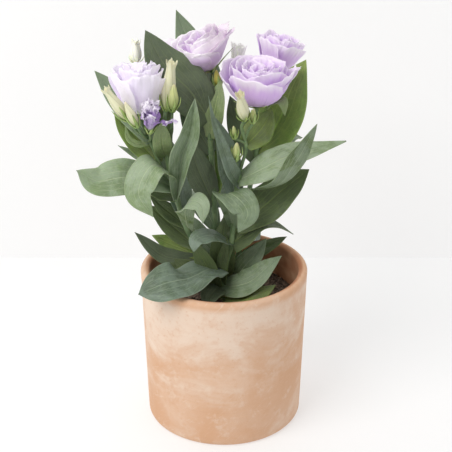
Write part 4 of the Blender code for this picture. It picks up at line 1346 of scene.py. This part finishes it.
UP_FRONT = ((0.0, -0.5, 0.85),)
FRONT = ((0.0, -0.9, 0.3),)
FRONT_RIGHT = ((0.3, -0.85, 0.4),)
FRONT_LEFT = ((-0.3, -0.85, 0.4),)
UP_BACK = ((0.0, -0.3, 0.9),)
LEAVES: dict[str, tuple[Leaf, ...]] = {
    "stem_left": (
        Leaf("sheath_left", 19, ((-8, 0, 124), (-13, -7, 143), (-20, -9, 160), (-29, -9, 178)), FRONT_LEFT, base=0.8),
        Leaf("bract_thin", 6, ((-64, -8, 267), (-74, -13, 269), (-81, -14, 275), (-83, -12, 285)), FRONT_RIGHT),
        Leaf("left_high", 25, ((-62, -7, 268), (-78, 8, 287), (-95, 12, 307), (-110, 14, 325)), FRONT_RIGHT),
        Leaf("left_mid", 24, ((-56, -6, 248), (-68, 4, 258), (-83, 10, 275), (-95, 12, 295)), FRONT_RIGHT),
        Leaf("left_thin", 10, ((-50, -5, 238), (-64, 6, 244), (-77, 14, 248), (-93, 17, 256)), UP_FRONT),
        Leaf(
            "left_wide", 33, ((-45, -4, 226), (-64, -14, 238), (-86, -24, 243), (-107, -30, 242), (-124, -31, 252)),
            ((0.2, -0.5, 0.85), (0.1, -0.75, 0.65), (0.0, -0.6, 0.8)), fold=12, wave=1.0, peak=0.55, point=2.6,
        ),
        Leaf(
            "left_hook", 31, ((-44, -4, 224), (-50, -15, 245), (-61, -28, 255), (-72, -38, 235), (-60, -42, 214)),
            ((0.5, 0.3, 0.8), (0.0, -0.3, 1.0), (-0.3, -0.8, 0.5), (-0.2, -1.0, 0.1)), fold=10, peak=0.55, base=0.25,
        ),
        Leaf(
            "left_upright", 30, ((-41, -4, 213), (-38, -15, 240), (-35, -22, 262), (-28, -25, 283), (-24, -17, 311)),
            ((-0.3, -0.9, 0.3), (0.1, -0.95, 0.25)), fold=68, peak=0.5, base=0.3,
        ),
        Leaf(
            "left_drape", 20, ((-31, -3, 183), (-34, -15, 206), (-29, -26, 222), (-19, -36, 222), (-18, -40, 207)),
            ((0.3, 0.7, 0.5), (0.0, -0.4, 0.9), (0.2, -1.0, 0.2)), fold=8, peak=0.6,
        ),
        Leaf(
            "left_long_low", 40, ((-8, -2, 146), (-20, -22, 151), (-33, -44, 156), (-50, -57, 158.5), (-73, -63, 151)),
            ((-0.1, -0.4, 0.9), (-0.2, -0.5, 0.85), (-0.3, -0.7, 0.65)), fold=12, wave=1.4, peak=0.5, base=0.75,
            point=3.6,
        ),
        Leaf("left_dark", 22, ((-22, -2, 164), (-33, 8, 170), (-49, 14, 182), (-68, 15, 200)), FRONT_RIGHT),
        Leaf("left_small", 16, ((-32, -3, 186), (-43, 4, 193), (-54, 9, 200), (-66, 10, 211)), FRONT_RIGHT),
        Leaf(
            "bract_round", 17, ((-50, -4, 254), (-52, -16, 269), (-52, -20, 282), (-51, -22, 292)),
            ((0.0, -1.0, 0.1),), base=0.8, point=2.6,
        ),
        Leaf("left_shade", 20, ((-41, -3.5, 213), (-52, 4, 216), (-63, 6, 220), (-76, 6, 226)), UP_FRONT),
        Leaf("left_filler", 22, ((-49, -3, 256), (-54, 9, 270), (-53, 14, 290), (-50, 15, 308)), FRONT),
        Leaf("left_back_high", 24, ((-47, -4, 238), (-53, 14, 250), (-62, 34, 258), (-70, 54, 254)), UP_BACK),
        Leaf("left_back_low", 26, ((-37, -3.3, 200), (-40, 14, 212), (-48, 38, 218), (-58, 60, 212)), UP_BACK),
    ),
    "stem_front": (
        Leaf("sheath_front", 12, ((-3, -1, 126), (-2, -5, 146), (0, -7, 162), (3, -8, 178)), FRONT_LEFT, base=0.8),
        Leaf("low_front", 21, ((-4, -3, 126), (-9, -20, 131), (-13, -36, 133), (-15, -52, 131)), UP_FRONT, base=0.7),
        Leaf(
            "front_upright", 16, ((13, 0, 226), (6, -10, 243), (-1, -15, 267), (-8, -14, 287), (-13, -11, 311)),
            ((0.6, -0.6, 0.5), (0.2, -0.9, 0.3), (0.5, -0.8, 0.2)), fold=30, peak=0.16, base=0.8, point=1.1,
        ),
        Leaf("front_dark", 22, ((11, 0, 205), (7, 6, 228), (2, 9, 255), (-7, 10, 284)), ((0.2, -0.9, 0.3),)),
        Leaf(
            "right_long", 27, ((13, 0, 230), (33, -6, 243), (56, -10, 257), (82, -11, 265), (104, -9, 270)),
            ((-0.3, -0.5, 0.8), (-0.1, -0.75, 0.65), (-0.1, -0.7, 0.7)), fold=14, wave=0.8, peak=0.32, base=0.6,
            point=1.5,
        ),
        Leaf(
            "right_under", 22, ((13, 0, 222), (33, -7, 225), (49, -21, 238), (63, -28, 264), (77, -30, 293)),
            ((-0.2, 0.3, 0.9), (-0.4, 0.8, 0.5), (-0.7, 0.9, 0.1)), fold=14, peak=0.65, base=0.25,
        ),
        Leaf(
            "right_wide", 38, ((9, 0, 184), (32, 9, 198), (54, 13, 217), (75, 13, 235)), ((-0.4, -0.7, 0.6),), fold=14,
            base=0.45, point=2.4,
        ),
        Leaf(
            "front_hook", 27,
            ((9, 0, 184), (4, -6, 206), (2, -14, 223), (11, -26, 225), (20, -34, 214), (12, -37, 197)),
            ((0.5, 0.8, 0.3), (0.3, 0.2, 0.95), (0.1, -0.8, 0.7), (0.1, -1.0, 0.2)), fold=6, peak=0.62,
        ),
        Leaf(
            "front_left_low", 18, ((6, 0, 169), (-7, -14, 183), (-17, -27, 189), (-24, -34, 188), (-26, -40, 180)),
            ((-0.1, -0.4, 0.9), (-0.2, -0.6, 0.75), (-0.5, -0.8, 0.3)), fold=10, peak=0.6, point=3.0,
        ),
        Leaf(
            "front_right_low", 29, ((-1, -3, 128), (13, -17, 135), (27, -21, 144), (39, -18, 155), (51, -13, 163)),
            ((-0.2, -0.5, 0.85),), peak=0.33, base=0.6,
        ),
        Leaf(
            "front_lowest", 21, ((-2, -4, 120), (10, -22, 125), (23, -31, 130), (35, -29, 135), (46, -21, 138)),
            UP_FRONT,
        ),
        Leaf(
            "front_right", 27, ((7, 0, 169), (18, -1, 178), (34, 2, 187), (47, 4, 185), (62, 4, 176)),
            ((-0.3, -0.8, 0.6), (-0.2, -0.3, 1.0), (0.2, 0.1, 1.0)), peak=0.25, base=0.85, point=1.2,
        ),
        Leaf("front_round", 27, ((18, 0, 262), (27, 6, 269), (35, 9, 279), (41, 9, 293)), FRONT_LEFT, base=0.55),
        Leaf("front_back_low", 17, ((6, 0, 168), (7, 16, 175), (7, 38, 180), (8, 62, 176)), UP_BACK),
    ),
    "stem_back": (
        Leaf("fan_middle", 24, ((-4, 14, 122), (-2, 7, 146), (-1, 5, 168), (1, 8, 194)), FRONT, base=0.7),
        Leaf("top_wide", 44, ((-13, 22, 278), (-29, 15, 306), (-51, 14, 331), (-66, 15, 360)), FRONT_RIGHT, fold=12),
        Leaf("top_high", 36, ((-13, 24, 281), (-19, 56, 302), (-32, 82, 330), (-43, 89, 358)), ((0.2, -0.8, 0.5),)),
        Leaf("back_dark", 27, ((-9, 17, 200), (-16, 13, 218), (-24, 10, 240), (-31, 8, 268)), FRONT_RIGHT),
        Leaf("back_bright", 24, ((-9, 17, 208), (-10, 27, 229), (-11, 33, 250), (-9, 37, 280)), FRONT),
        Leaf("back_light", 20, ((-12, 20, 262), (-9, 19, 283), (-6, 23, 298), (-3, 29, 312)), FRONT_LEFT),
        Leaf("back_filler", 24, ((-11, 19, 248), (-23, 25, 268), (-31, 27, 286), (-38, 27, 302)), FRONT),
        Leaf("back_left_low", 26, ((-8, 16, 176), (-18, 36, 188), (-26, 58, 192), (-32, 80, 186)), UP_BACK),
        Leaf("back_behind", 28, ((-9, 17, 196), (-8, 34, 206), (-8, 56, 212), (-12, 76, 206)), UP_BACK),
        Leaf("back_lowest", 28, ((-6, 15, 148), (-26, 34, 160), (-42, 54, 166), (-56, 72, 160)), UP_BACK),
    ),
    "stem_right": (
        Leaf("fan_right", 22, ((8, 12, 124), (18, 6, 142), (28, 4, 156), (38, 8, 170)), FRONT_LEFT, base=0.7),
        Leaf(
            "right_tall", 44, ((29, 30, 244), (41, 33, 259), (51, 36, 278), (60, 38, 303), (71, 36, 328)), FRONT_LEFT,
            base=0.65,
        ),
        Leaf("right_filler", 26, ((28, 30, 237), (20, 32, 256), (12, 34, 275), (5, 34, 296)), FRONT),
        Leaf(
            "right_curl", 13, ((30, 27, 266), (38, 24, 287), (44, 16, 297), (50, 9, 299), (52, 4, 288)),
            ((-0.3, 0.4, 0.8), (0.0, -0.3, 1.0), (0.2, -0.9, 0.3)), fold=10, peak=0.6,
        ),
        Leaf("right_low", 16, ((13, 16, 146), (24, 17, 150), (38, 18, 156), (57, 18, 167)), UP_FRONT),
        Leaf("right_back_high", 28, ((27, 29, 232), (42, 42, 244), (58, 56, 250), (72, 68, 244)), UP_BACK),
        Leaf("right_back_low", 28, ((15, 18, 162), (20, 40, 154), (22, 62, 158), (22, 82, 154)), UP_BACK),
    ),
    "stem_low": (
        Leaf("fan_left", 22, ((-16, 9, 124), (-25, 0, 136), (-34, -4, 146), (-45, -2, 154)), FRONT_RIGHT, base=0.7),
        Leaf("low_far", 18, ((-21, 8, 150), (-38, 4, 151), (-58, 3, 157), (-80, 4, 178)), ((0.2, -0.6, 0.8),)),
        Leaf("low_bright", 21, ((-22, 8, 152), (-38, 17, 155), (-52, 22, 159), (-66, 23, 166)), UP_FRONT),
        Leaf("low_near", 14, ((-20, 8, 144), (-30, 4, 144), (-42, -4, 147), (-54, -8, 151)), UP_FRONT),
        Leaf("low_back", 24, ((-20, 9, 142), (-34, 28, 150), (-44, 44, 156), (-52, 58, 152)), UP_BACK),
    ),
}
BUDS: tuple[Bud, ...] = (
    Bud("bud_tall", (-49, -6, 298), (-43, -8, 340), 5.8, 14, BudTone.CREAM, True),
    Bud("bud_beside", (-43, -17, 301), (-41, -19, 324), 4.2, 12, BudTone.LIME),
    Bud("bud_left", (-80.3, -27, 296.3), (-97, -28, 323), 4.7, 14, BudTone.CREAM, True),
    Bud("bud_left_small", (-72, -33, 293), (-80.8, -35, 314), 3.8, 12, BudTone.CREAM),
    Bud("bud_centre", (17, -14, 292), (13, -29, 319), 4.9, 10, BudTone.CREAM, True),
    Bud("bud_centre_small", (24.5, -6, 287), (25, -9, 299), 2.8, 10, BudTone.LIME),
    Bud("bud_green", (10, -7, 253), (11, -10, 269), 3.6, 12, BudTone.LIME),
    Bud("bud_thin", (9, -4.5, 272.5), (8, -7, 283), 2.0, 7, BudTone.LIME),
    Bud("bud_yellow", (-5.3, 34, 305), (-7, 36, 319), 3.0, 10, BudTone.YELLOW),
    Bud("bud_behind", (-76, 28, 328), (-75, 29, 347), 4.8, 6, BudTone.PALE, True),
)
BLOOMS: tuple[Bloom, ...] = (
    Bloom(
        "bloom_left", (-70.5, -10, 294.5), (-0.06, 0.14, 1.0), (
            Ring(
                4, 20, 30, ((1.8, 0.5), (11, 5), (16, 17), (20, 37)), 0.13, 1.8, reach=1.45, drop=0.1, roll=2.6,
                pleat=0.8,
            ),
            Ring(
                4, 65, 24, ((1.6, 2), (9, 10), (13.5, 24), (17.5, 42)), 0.15, 1.4, reach=1.5, drop=0.1, roll=1.2,
                pleat=0.8,
            ),
            Ring(3, 100, 14, ((1.4, 3), (5, 14), (9, 27), (13, 43)), 0.22, 1.8, drop=0.12, close=0.06, pleat=0.9),
            Ring(2, 20, 14, ((1.2, 3), (3, 14), (5, 26), (8, 42)), 0.3, 1.4, drop=0.12, pleat=0.6),
        ),
        11, PetalTone.WHITE, "petal_pale",
    ),
    Bloom(
        "bloom_top", (-11, 46, 316), (-0.42, -0.1, 0.9), (
            Ring(2, 150, 34, ((1.8, 0.5), (16, 8), (30, 20), (41, 36)), span=90, close=0.06),
            Ring(2, 260, 30, ((1.8, 0.5), (12, 7), (20, 17), (25, 28)), span=110),
            Ring(2, 330, 36, ((1.8, 0.5), (12, 8), (22, 20), (31, 29)), 0.2, 1.6, span=100, roll=1.5),
            Ring(4, 40, 26, ((1.6, 2), (13, 10), (25, 21), (29, 33)), drop=0.2, close=0.2, reach=1.5),
            Ring(4, 20, 22, ((1.4, 3), (10, 13), (20, 24), (23, 35)), 0.2, 1.0, drop=0.2, close=0.22),
            Ring(3, 70, 17, ((1.4, 3), (7, 14), (12, 25), (15, 35)), 0.25, 1.0, drop=0.15, close=0.3),
        ),
        10, PetalTone.MAUVE,
    ),
    Bloom(
        "bloom_front", (28, 14, 293.5), (0.02, -0.05, 1.0), (
            Ring(4, 342, 44, ((1.8, 0.5), (15, 6), (24, 17), (30, 36)), 0.14, 1.3, reach=1.45, drop=0.16, roll=1.4),
            Ring(1, 12, 34, ((1.6, 1), (15, 9), (26, 20), (35, 33)), 0.1, 2.2, roll=2.0, pleat=0.8),
            Ring(4, 28, 34, ((1.6, 2), (13, 9), (20, 21), (25.5, 38)), 0.14, 1.1, reach=1.45, drop=0.18, close=0.04),
            Ring(4, 65, 27, ((1.6, 2), (10, 12), (16, 24), (20.5, 38)), 0.16, 1.1, reach=1.4, drop=0.18, close=0.1),
            Ring(4, 10, 20, ((1.4, 3), (8, 13), (14, 25), (18, 37)), 0.22, 1.1, drop=0.18, close=0.2),
            Ring(3, 80, 17, ((1.4, 3), (5, 14), (8, 25), (11, 36)), 0.3, 1.0, drop=0.15, close=0.3),
        ),
        10,
    ),
    Bloom(
        "bloom_right", (44, 72, 303), (0.25, 0.05, 0.96), (
            Ring(
                4, 20, 30, ((1.8, 0.5), (10, 7), (15.5, 18), (19.5, 33)), 0.12, 1.7, reach=1.5, drop=0.08, roll=1.8,
                pleat=0.6,
            ),
            Ring(4, 40, 22, ((1.6, 2), (7, 12), (12.5, 24), (17, 36)), ruffle=1.5, drop=0.16, close=0.04, pleat=0.6),
            Ring(3, 70, 15, ((1.4, 3), (5, 14), (9, 25), (12, 36)), 0.25, 1.2, drop=0.15, close=0.2),
        ),
        11,
    ),
    Bloom(
        "bloom_small", (11.5, 66, 311), (0.1, 0.0, 1.0), (
            Ring(5, 10, 9, ((1.6, 0.5), (4.5, 8), (6, 15), (7.5, 21)), ruffle=0.9, reach=1.0, drop=0.55),
            Ring(3, 40, 9, ((1.4, 2), (3, 9), (5, 16), (6, 21)), ruffle=0.8),
        ),
        7, PetalTone.GREENISH, "petal_pale",
    ),
    Bloom(
        "bloom_wilted", (-61.5, -28, 286), (0.1, -0.22, 1.0), (
            Ring(4, 10, 9, ((1.5, 1), (4.5, 9), (6, 18), (6.5, 28)), 0.3, 1.4, reach=1.5, drop=0.15, close=0.25),
            Ring(1, 342, 7, ((1.5, 1), (5, 9), (13, 13), (22, 14)), 0.2, 1.0),
            Ring(2, 210, 7, ((1.5, 1), (5, 8), (8, 15), (9, 21)), 0.2, 1.0, 120),
            Ring(3, 50, 7, ((1.3, 1), (3, 9), (4, 17), (5, 26)), 0.4, 1.6, reach=1.6, drop=0.1, close=0.3),
        ),
        6, PetalTone.WILTED, "petal_wilted", 4.0,
    ),
)
FLOWERS: dict[str, Bud | Bloom] = {flower.name: flower for flower in BUDS + BLOOMS}


class GeometryTree(Nodes):
    """A Geometry Nodes tree in the making, which ends in Realize Instances and Set Material."""

    def __init__(self, name: str, inputs: dict[str, tuple[str, object]]) -> None:
        """Starts the tree.

        Args:
            name: the tree's name.
            inputs: each named input, with its kind of socket and its default or None.
        """
        super().__init__(bpy.data.node_groups.new(name, "GeometryNodeTree"))
        inputs = {"Geometry": ("Geometry", None)} | inputs | {"Skin": ("Material", None)}
        for key, (kind, value) in inputs.items():
            socket = self.tree.interface.new_socket(key, in_out="INPUT", socket_type="NodeSocket" + kind)
            if value is not None:
                socket.default_value = value
        self.tree.interface.new_socket("Geometry", in_out="OUTPUT", socket_type="NodeSocketGeometry")
        self.given = self.node("NodeGroupInput").outputs

    def close(self, geometry: bpy.types.NodeSocket) -> "GeometryTree":
        """Ends the tree: smooth faces, real copies and the finish.

        Args:
            geometry: what the tree has made.

        Returns:
            This tree.
        """
        smoothed = self.node("GeometryNodeSetShadeSmooth", {"Geometry": geometry})
        real = self.node("GeometryNodeRealizeInstances", {"Geometry": smoothed.outputs[0]})
        dressed = self.node("GeometryNodeSetMaterial", {"Geometry": real.outputs[0], "Material": self.given["Skin"]})
        self.node("NodeGroupOutput", {"Geometry": dressed.outputs[0]})
        return self

    def make(self, source: bpy.types.Object, name: str, values: dict[str, object]) -> bpy.types.Object:
        """Runs the tree on the source and keeps the result as a plain mesh.

        Args:
            source: the curve or mesh that the tree starts from; it is removed.
            name: the new piece's name.
            values: a value for each named input.

        Returns:
            The piece, at the origin, with no modifier.
        """
        modifier = source.modifiers.new("build", "NODES")
        modifier.node_group = self.tree
        for item in self.tree.interface.items_tree:
            if item.in_out == "INPUT" and item.name in values:
                modifier[item.identifier] = values[item.name]
        bpy.context.view_layer.update()
        graph = bpy.context.evaluated_depsgraph_get()
        mesh = bpy.data.meshes.new_from_object(source.evaluated_get(graph), depsgraph=graph)
        mesh.name = name
        bpy.data.objects.remove(source, do_unlink=True)
        return linked(name, mesh)


def stalk_tree() -> GeometryTree:
    """Round stalks along curves, as thick at each point as the curve's own radius there.

    Returns:
        The tree.
    """
    made = GeometryTree("Stalks", {"Sides": ("Int", 14)})
    circle = made.node("GeometryNodeCurvePrimitiveCircle", {"Resolution": made.given["Sides"], "Radius": 1.0})
    inputs = {"Curve": made.given["Geometry"], "Profile Curve": circle.outputs[0], "Fill Caps": True}
    inputs |= {"Scale": made.node("GeometryNodeInputRadius").outputs[0]}
    return made.close(made.node("GeometryNodeCurveToMesh", inputs).outputs[0])


def crumb_tree() -> GeometryTree:
    """Crumbs of many sizes scattered over a surface, the same on every run.

    Returns:
        The tree.
    """
    numbers = {"Density": ("Float", 1000.0), "Smallest": ("Float", 0.0004), "Largest": ("Float", 0.0016)}
    made = GeometryTree("Crumbs", numbers | {"Seed": ("Int", 3)})
    given = made.given
    seed = {"Seed": given["Seed"]}
    surface = {"Mesh": given["Geometry"], "Density": given["Density"]}
    points = made.node("GeometryNodeDistributePointsOnFaces", surface | seed)
    ends = {"Min": (0.0, 0.0, 0.0), "Max": (6.3, 6.3, 6.3)}
    turn = made.node("FunctionNodeRandomValue", ends | seed, data_type="FLOAT_VECTOR")
    for end, size in (("Min", "Smallest"), ("Max", "Largest")):
        ends[end] = made.node("ShaderNodeCombineXYZ", dict.fromkeys(range(3), given[size])).outputs[0]
    scale = made.node("FunctionNodeRandomValue", ends | seed, data_type="FLOAT_VECTOR")
    crumb = made.node("GeometryNodeMeshIcoSphere", {"Radius": 1.0, "Subdivisions": 2})
    inputs = {"Points": points.outputs["Points"], "Instance": crumb.outputs[0]}
    inputs |= {"Rotation": turn.outputs[0], "Scale": scale.outputs[0]}
    return made.close(made.node("GeometryNodeInstanceOnPoints", inputs).outputs[0])


@dataclass(frozen=True)
class Stem:
    """One leafy stem: its stalks, its leaves, and the green cups and sepals under its flowers."""

    node: str
    sides: int = 14
    steps: int = 14
    cup_radius: float = 2.4
    cup: tuple = ((-2.5, 0.8), (-2.0, 1.0), (-1.2, 1.05), (-0.35, 1.0))
    swelling: float = 0.3
    swelling_reach: float = 3.5
    thin: float = 1.4
    sepals: int = 5
    sepal_width: float = 2.6
    sepal_thickness: float = 0.6
    sepal_rows: int = 15
    sepal_columns: int = 7

    def line(self, shoot: Shoot) -> list[tuple[Vector, float]]:
        """Lays out a shoot, with the green cup at its end if it carries a flower.

        Args:
            shoot: the stem or stalk.

        Returns:
            (point, radius) along it, in mm.
        """
        path, cup = [vec(point) for point in shoot.path], []
        if shoot.flower:
            flower = FLOWERS[shoot.flower]
            foot, up = vec(flower.foot), flower.direction().normalized()
            path.append(foot - up * 3.0)
            cup = [(foot + up * level, self.cup_radius * share) for level, share in self.cup]
        last = self.steps * (len(path) - 1)
        return [(curve_point(path, i / last), shoot.radius) for i in range(last + 1)] + cup

    def stalks(self, tree: GeometryTree) -> None:
        """Builds and dresses the stem and its branches, thicker where a leaf clasps them.

        Args:
            tree: the tree that sweeps round stalks.
        """
        curve = bpy.data.curves.new(self.node, "CURVE")
        curve.dimensions = "3D"
        joints = [vec(leaf.path[0]) for leaf in LEAVES[self.node]]
        for shoot in STEMS[self.node]:
            line = self.line(shoot)
            spline = curve.splines.new("POLY")
            spline.points.add(len(line) - 1)
            for point, (place, radius) in zip(spline.points, line):
                near = min((place - joint).length for joint in joints) / self.swelling_reach
                swell = 1 + self.swelling * math.exp(-(near**2)) if radius >= self.thin else 1.0
                point.co = (*(place * MM), 1.0)
                point.radius = radius * swell * MM
        values = {"Sides": self.sides, "Skin": STEM_GREEN.material()}
        dress(tree.make(linked(self.node + "_line", curve), "stalks_" + self.node, values), self.node)

    def sepal(self, flower: Bud | Bloom, out: Vector) -> Rows:
        """Lays out one narrow sepal.

        Args:
            flower: the bud or bloom.
            out: the unit vector from the flower's axis to the sepal.

        Returns:
            Rows from inside the green cup to the sepal's tip.
        """
        up, profile = flower.direction().normalized(), flower.profile()
        across, rows = up.cross(out), []
        shape = [(1.65, -1.8)]
        for share, gap in ((0.45, 1.0), (1.0, 1.6)):
            height = share * flower.sepal
            shape.append((radius_at(profile, height) * flower.spread + gap, height))
        for i in range(self.sepal_rows):
            u = i / (self.sepal_rows - 1)
            distance, height, _ = curve_point(flat(shape), u)
            half = self.sepal_width / 2 * (0.75 + 0.25 * math.sin(math.pi * u)) * (1 - u**2.2) + 0.12
            centre = vec(flower.foot) + up * height + out * (distance + 0.5 * u * u)
            rows.append([])
            for j in range(self.sepal_columns):
                s = 2 * j / (self.sepal_columns - 1) - 1
                rows[-1].append(centre + across * (s * half) + out * (0.55 * half * (1 - s * s)))
        return rows

    def calyx(self, flower: Bud | Bloom) -> None:
        """Builds and dresses the sepals round a flower.

        Args:
            flower: the bud or bloom.
        """
        draft, axes = Draft(), axes_along(flower.direction())
        for k in range(self.sepals):
            rows = self.sepal(flower, outward(axes, 2 * math.pi * k / self.sepals))
            draft.blade(rows, lambda u, s: self.sepal_thickness - 0.25 * u, 0.2 * k)
        # The two flowers at the back take the pale sepals, which are painted light.
        green = SEPAL_PAINTED_LIGHT if flower.name in ("bud_behind", "bloom_small") else SEPAL_GREEN
        dress(draft.finish("calyx_" + flower.name, green.material()), self.node)

    def build(self, tree: GeometryTree) -> None:
        """Builds and dresses the whole stem with its leaves and sepals.

        Args:
            tree: the tree that sweeps round stalks.
        """
        self.stalks(tree)
        for leaf in LEAVES[self.node]:
            leaf.build(self.node)
        for shoot in STEMS[self.node]:
            if shoot.flower:
                self.calyx(FLOWERS[shoot.flower])


@dataclass(frozen=True)
class Pot:
    """The straight terracotta pot: a turned wall with a rounded lip, a softened foot and a floor."""

    height: float = 147.0
    top_radius: float = 75.0
    base_radius: float = 71.0
    wall: float = 8.0
    floor: float = 9.0
    base_edge: float = 4.0
    base_rim: float = 0.6
    lip: float = 3.4
    sides: int = 160
    foot_steps: int = 6
    lip_steps: int = 12

    def radius(self, height: float) -> float:
        """The outside radius at this height."""
        return self.base_radius + (self.top_radius - self.base_radius) * height / self.height

    def thrown(self, u: float, angle: float) -> float:
        """How far the wall is out of round, as a factor, at (u along the outline, angle)."""
        return 1 + 0.0012 * math.sin(2 * angle + 1.0) + 0.0006 * math.sin(5 * angle + 9 * u)

    def rings(self) -> Profile:
        """The pot's outline, up its outside and down its inside.

        Returns:
            (radius, height) from the middle of its foot to the middle of its floor.
        """
        foot, half, lip_start = self.base_radius - self.base_edge, self.wall / 2, self.height - self.lip
        rings = [(0.0, self.base_rim), (foot - 3, self.base_rim), (foot - 1.5, 0.0), (foot, 0.0)]
        for k in range(1, self.foot_steps + 1):
            turn = math.pi / 2 * k / self.foot_steps
            rings.append((foot + self.base_edge * math.sin(turn), self.base_edge * (1 - math.cos(turn))))
        rings += [(self.radius(z), z) for z in (20, 50, 80, 105, 125, lip_start - 3)]
        for k in range(self.lip_steps + 1):
            turn = math.pi * k / self.lip_steps
            rings.append((self.top_radius - half + half * math.cos(turn), lip_start + self.lip * math.sin(turn)))
        rings += [(self.radius(z) - self.wall, z) for z in (lip_start - 4, 118, 90, 60, 30, self.floor + 5)]
        corner = self.radius(self.floor) - self.wall
        return rings + [(corner - 1.5, self.floor + 1.4), (corner - 5, self.floor), (0.0, self.floor)]

    def build(self) -> None:
        """Builds and dresses the pot."""
        draft = Draft()
        draft.turned(vec((0, 0, 0)), axes_along((0, 0, 1)), self.rings(), self.sides, self.thrown)
        dress(draft.finish("pot_wall", TerracottaFinish().material()), "pot")


@dataclass(frozen=True)
class Soil:
    """The compost in the pot: an uneven body, with crumbs scattered over its top."""

    pot: Pot
    top: float = 116.0
    bottom: float = 9.3
    corner: float = 4.5
    gap: float = 0.5
    sides: int = 96
    rings: int = 34
    density: float = 95000.0
    seed: int = 11

    def level(self, x: float, y: float) -> float:
        """The height of the compost's top.

        Args:
            x: the place to the right, in mm.
            y: the place to the back, in mm.

        Returns:
            The height in mm.
        """
        away = math.hypot(x, y)
        rise = 2.5 * smooth(away, 60.0, 10.0)
        rise += 1.1 * math.sin(x * 0.21 + y * 0.13) * smooth(away, 66.0, 50.0)
        rise += 1.3 * noise.noise(Vector((x * 0.09, y * 0.09, 2.0)))
        rise += 0.8 * noise.noise(Vector((x * 0.35, y * 0.35, 5.0)))
        return self.top - 0.6 + rise - 1.2 * smooth(away, 60.0, 66.0)

    def settled(self, rings: Profile, rough_above: float) -> Draft:
        """Turns a body and gives its top the compost's uneven level.

        Args:
            rings: the body's outline.
            rough_above: the height above which points are moved to the level.

        Returns:
            The body.
        """
        draft = Draft()
        draft.turned(vec((0, 0, 0)), axes_along((0, 0, 1)), rings, self.sides)
        for point in draft.points:
            if point.z > rough_above:
                point.z = self.level(point.x, point.y)
        return draft

    def build(self, tree: GeometryTree) -> None:
        """Builds and dresses the body and the crumbs.

        Args:
            tree: the tree that scatters crumbs.
        """
        outer, edge = self.pot.radius(self.top) - self.pot.wall - self.gap, self.bottom + self.corner
        low, skin = self.pot.radius(edge) - self.pot.wall, SoilFinish().material()
        rings = [(0.0, self.bottom), (low - 5, self.bottom), (low - self.gap, edge), (outer, self.top - 3)]
        top = [(outer * (1 - i / self.rings), self.top) for i in range(self.rings)] + [(0.0, self.top)]
        dress(self.settled(rings + top, self.top - 0.5).finish("compost_body", skin), "soil")
        top[0] = (outer - 0.8, self.top)
        patch = self.settled(top, 0.0)
        patch.faces = [face for face in patch.faces if len(face) < 5]
        values = {"Density": self.density, "Seed": self.seed, "Skin": skin}
        dress(tree.make(patch.finish("compost_top", skin), "compost_crumbs", values), "soil")


@dataclass(frozen=True)
class Lamp:
    """A soft square light that looks at the plant. Sizes are in metres and the power is in watts."""

    name: str
    place: Point
    size: float
    power: float
    tint: Colour = (1.0, 1.0, 1.0)
    aim: Point = (0.0, 0.0, 0.2)

    def build(self) -> None:
        """Puts the light into the scene."""
        data = bpy.data.lights.new(self.name, "AREA")
        data.size, data.energy, data.color = self.size, self.power, self.tint
        item = linked(self.name, data)
        item.location = self.place
        item.rotation_euler = (vec(self.aim) - vec(self.place)).to_track_quat("-Z", "Y").to_euler()


@dataclass(frozen=True)
class Studio:
    """The pale floor and wall, the soft light and the camera at the photo's angle, in metres."""

    wall_at: float = 0.309
    reach: float = 14.0
    sky: float = 0.40
    lamps: tuple[Lamp, ...] = (
        Lamp("key", (-0.75, -0.75, 1.35), 0.95, 16.5, (1.0, 0.985, 0.96)),
        Lamp("fill", (0.9, -0.9, 0.7), 1.2, 1.3),
    )
    camera_at: Point = (0.0017, -0.950, 0.629)
    pitch: float = 65.0
    lens: float = 93.98
    sensor: float = 36.0
    clip: float = 0.05

    def backdrop(self) -> None:
        """Builds the floor and the wall behind, which aren't part of the object."""
        far, reach = self.wall_at, self.reach
        corners = [(-reach, -reach, 0), (reach, -reach, 0), (reach, far, 0), (-reach, far, 0)]
        corners += [(reach, far, reach), (-reach, far, reach)]
        mesh = bpy.data.meshes.new("backdrop")
        mesh.from_pydata(corners, [], [(0, 1, 2, 3), (3, 2, 4, 5)])
        mesh.materials.append(BackdropFinish().material())
        linked("backdrop", mesh)

    def camera(self) -> None:
        """Sets the camera at the photo's angle."""
        data = bpy.data.cameras.new("photo_camera")
        data.sensor_width, data.lens, data.clip_start = self.sensor, self.lens, self.clip
        item = linked("photo_camera", data)
        item.location = self.camera_at
        item.rotation_euler = (math.radians(self.pitch), 0.0, 0.0)
        bpy.context.scene.camera = item

    def build(self) -> None:
        """Sets up the backdrop, the lights and the camera."""
        self.backdrop()
        scene = bpy.context.scene
        scene.world = scene.world or bpy.data.worlds.new("studio")
        scene.world.use_nodes = True
        background = scene.world.node_tree.nodes["Background"]
        background.inputs["Color"].default_value = (1.0, 1.0, 1.0, 1.0)
        background.inputs["Strength"].default_value = self.sky
        scene.view_settings.view_transform = "Standard"
        for lamp in self.lamps:
            lamp.build()
        self.camera()


def main() -> None:
    """Builds the studio, the pot, the compost and the plant."""
    logging.basicConfig(level=logging.INFO, format="%(name)s: %(message)s")
    Studio().build()
    pot = Pot()
    pot.build()
    Soil(pot).build(crumb_tree())
    stalks = stalk_tree()
    for node in STEMS:
        Stem(node).build(stalks)
    for flower in FLOWERS.values():
        flower.build()


if __name__ == "__main__":
    main()
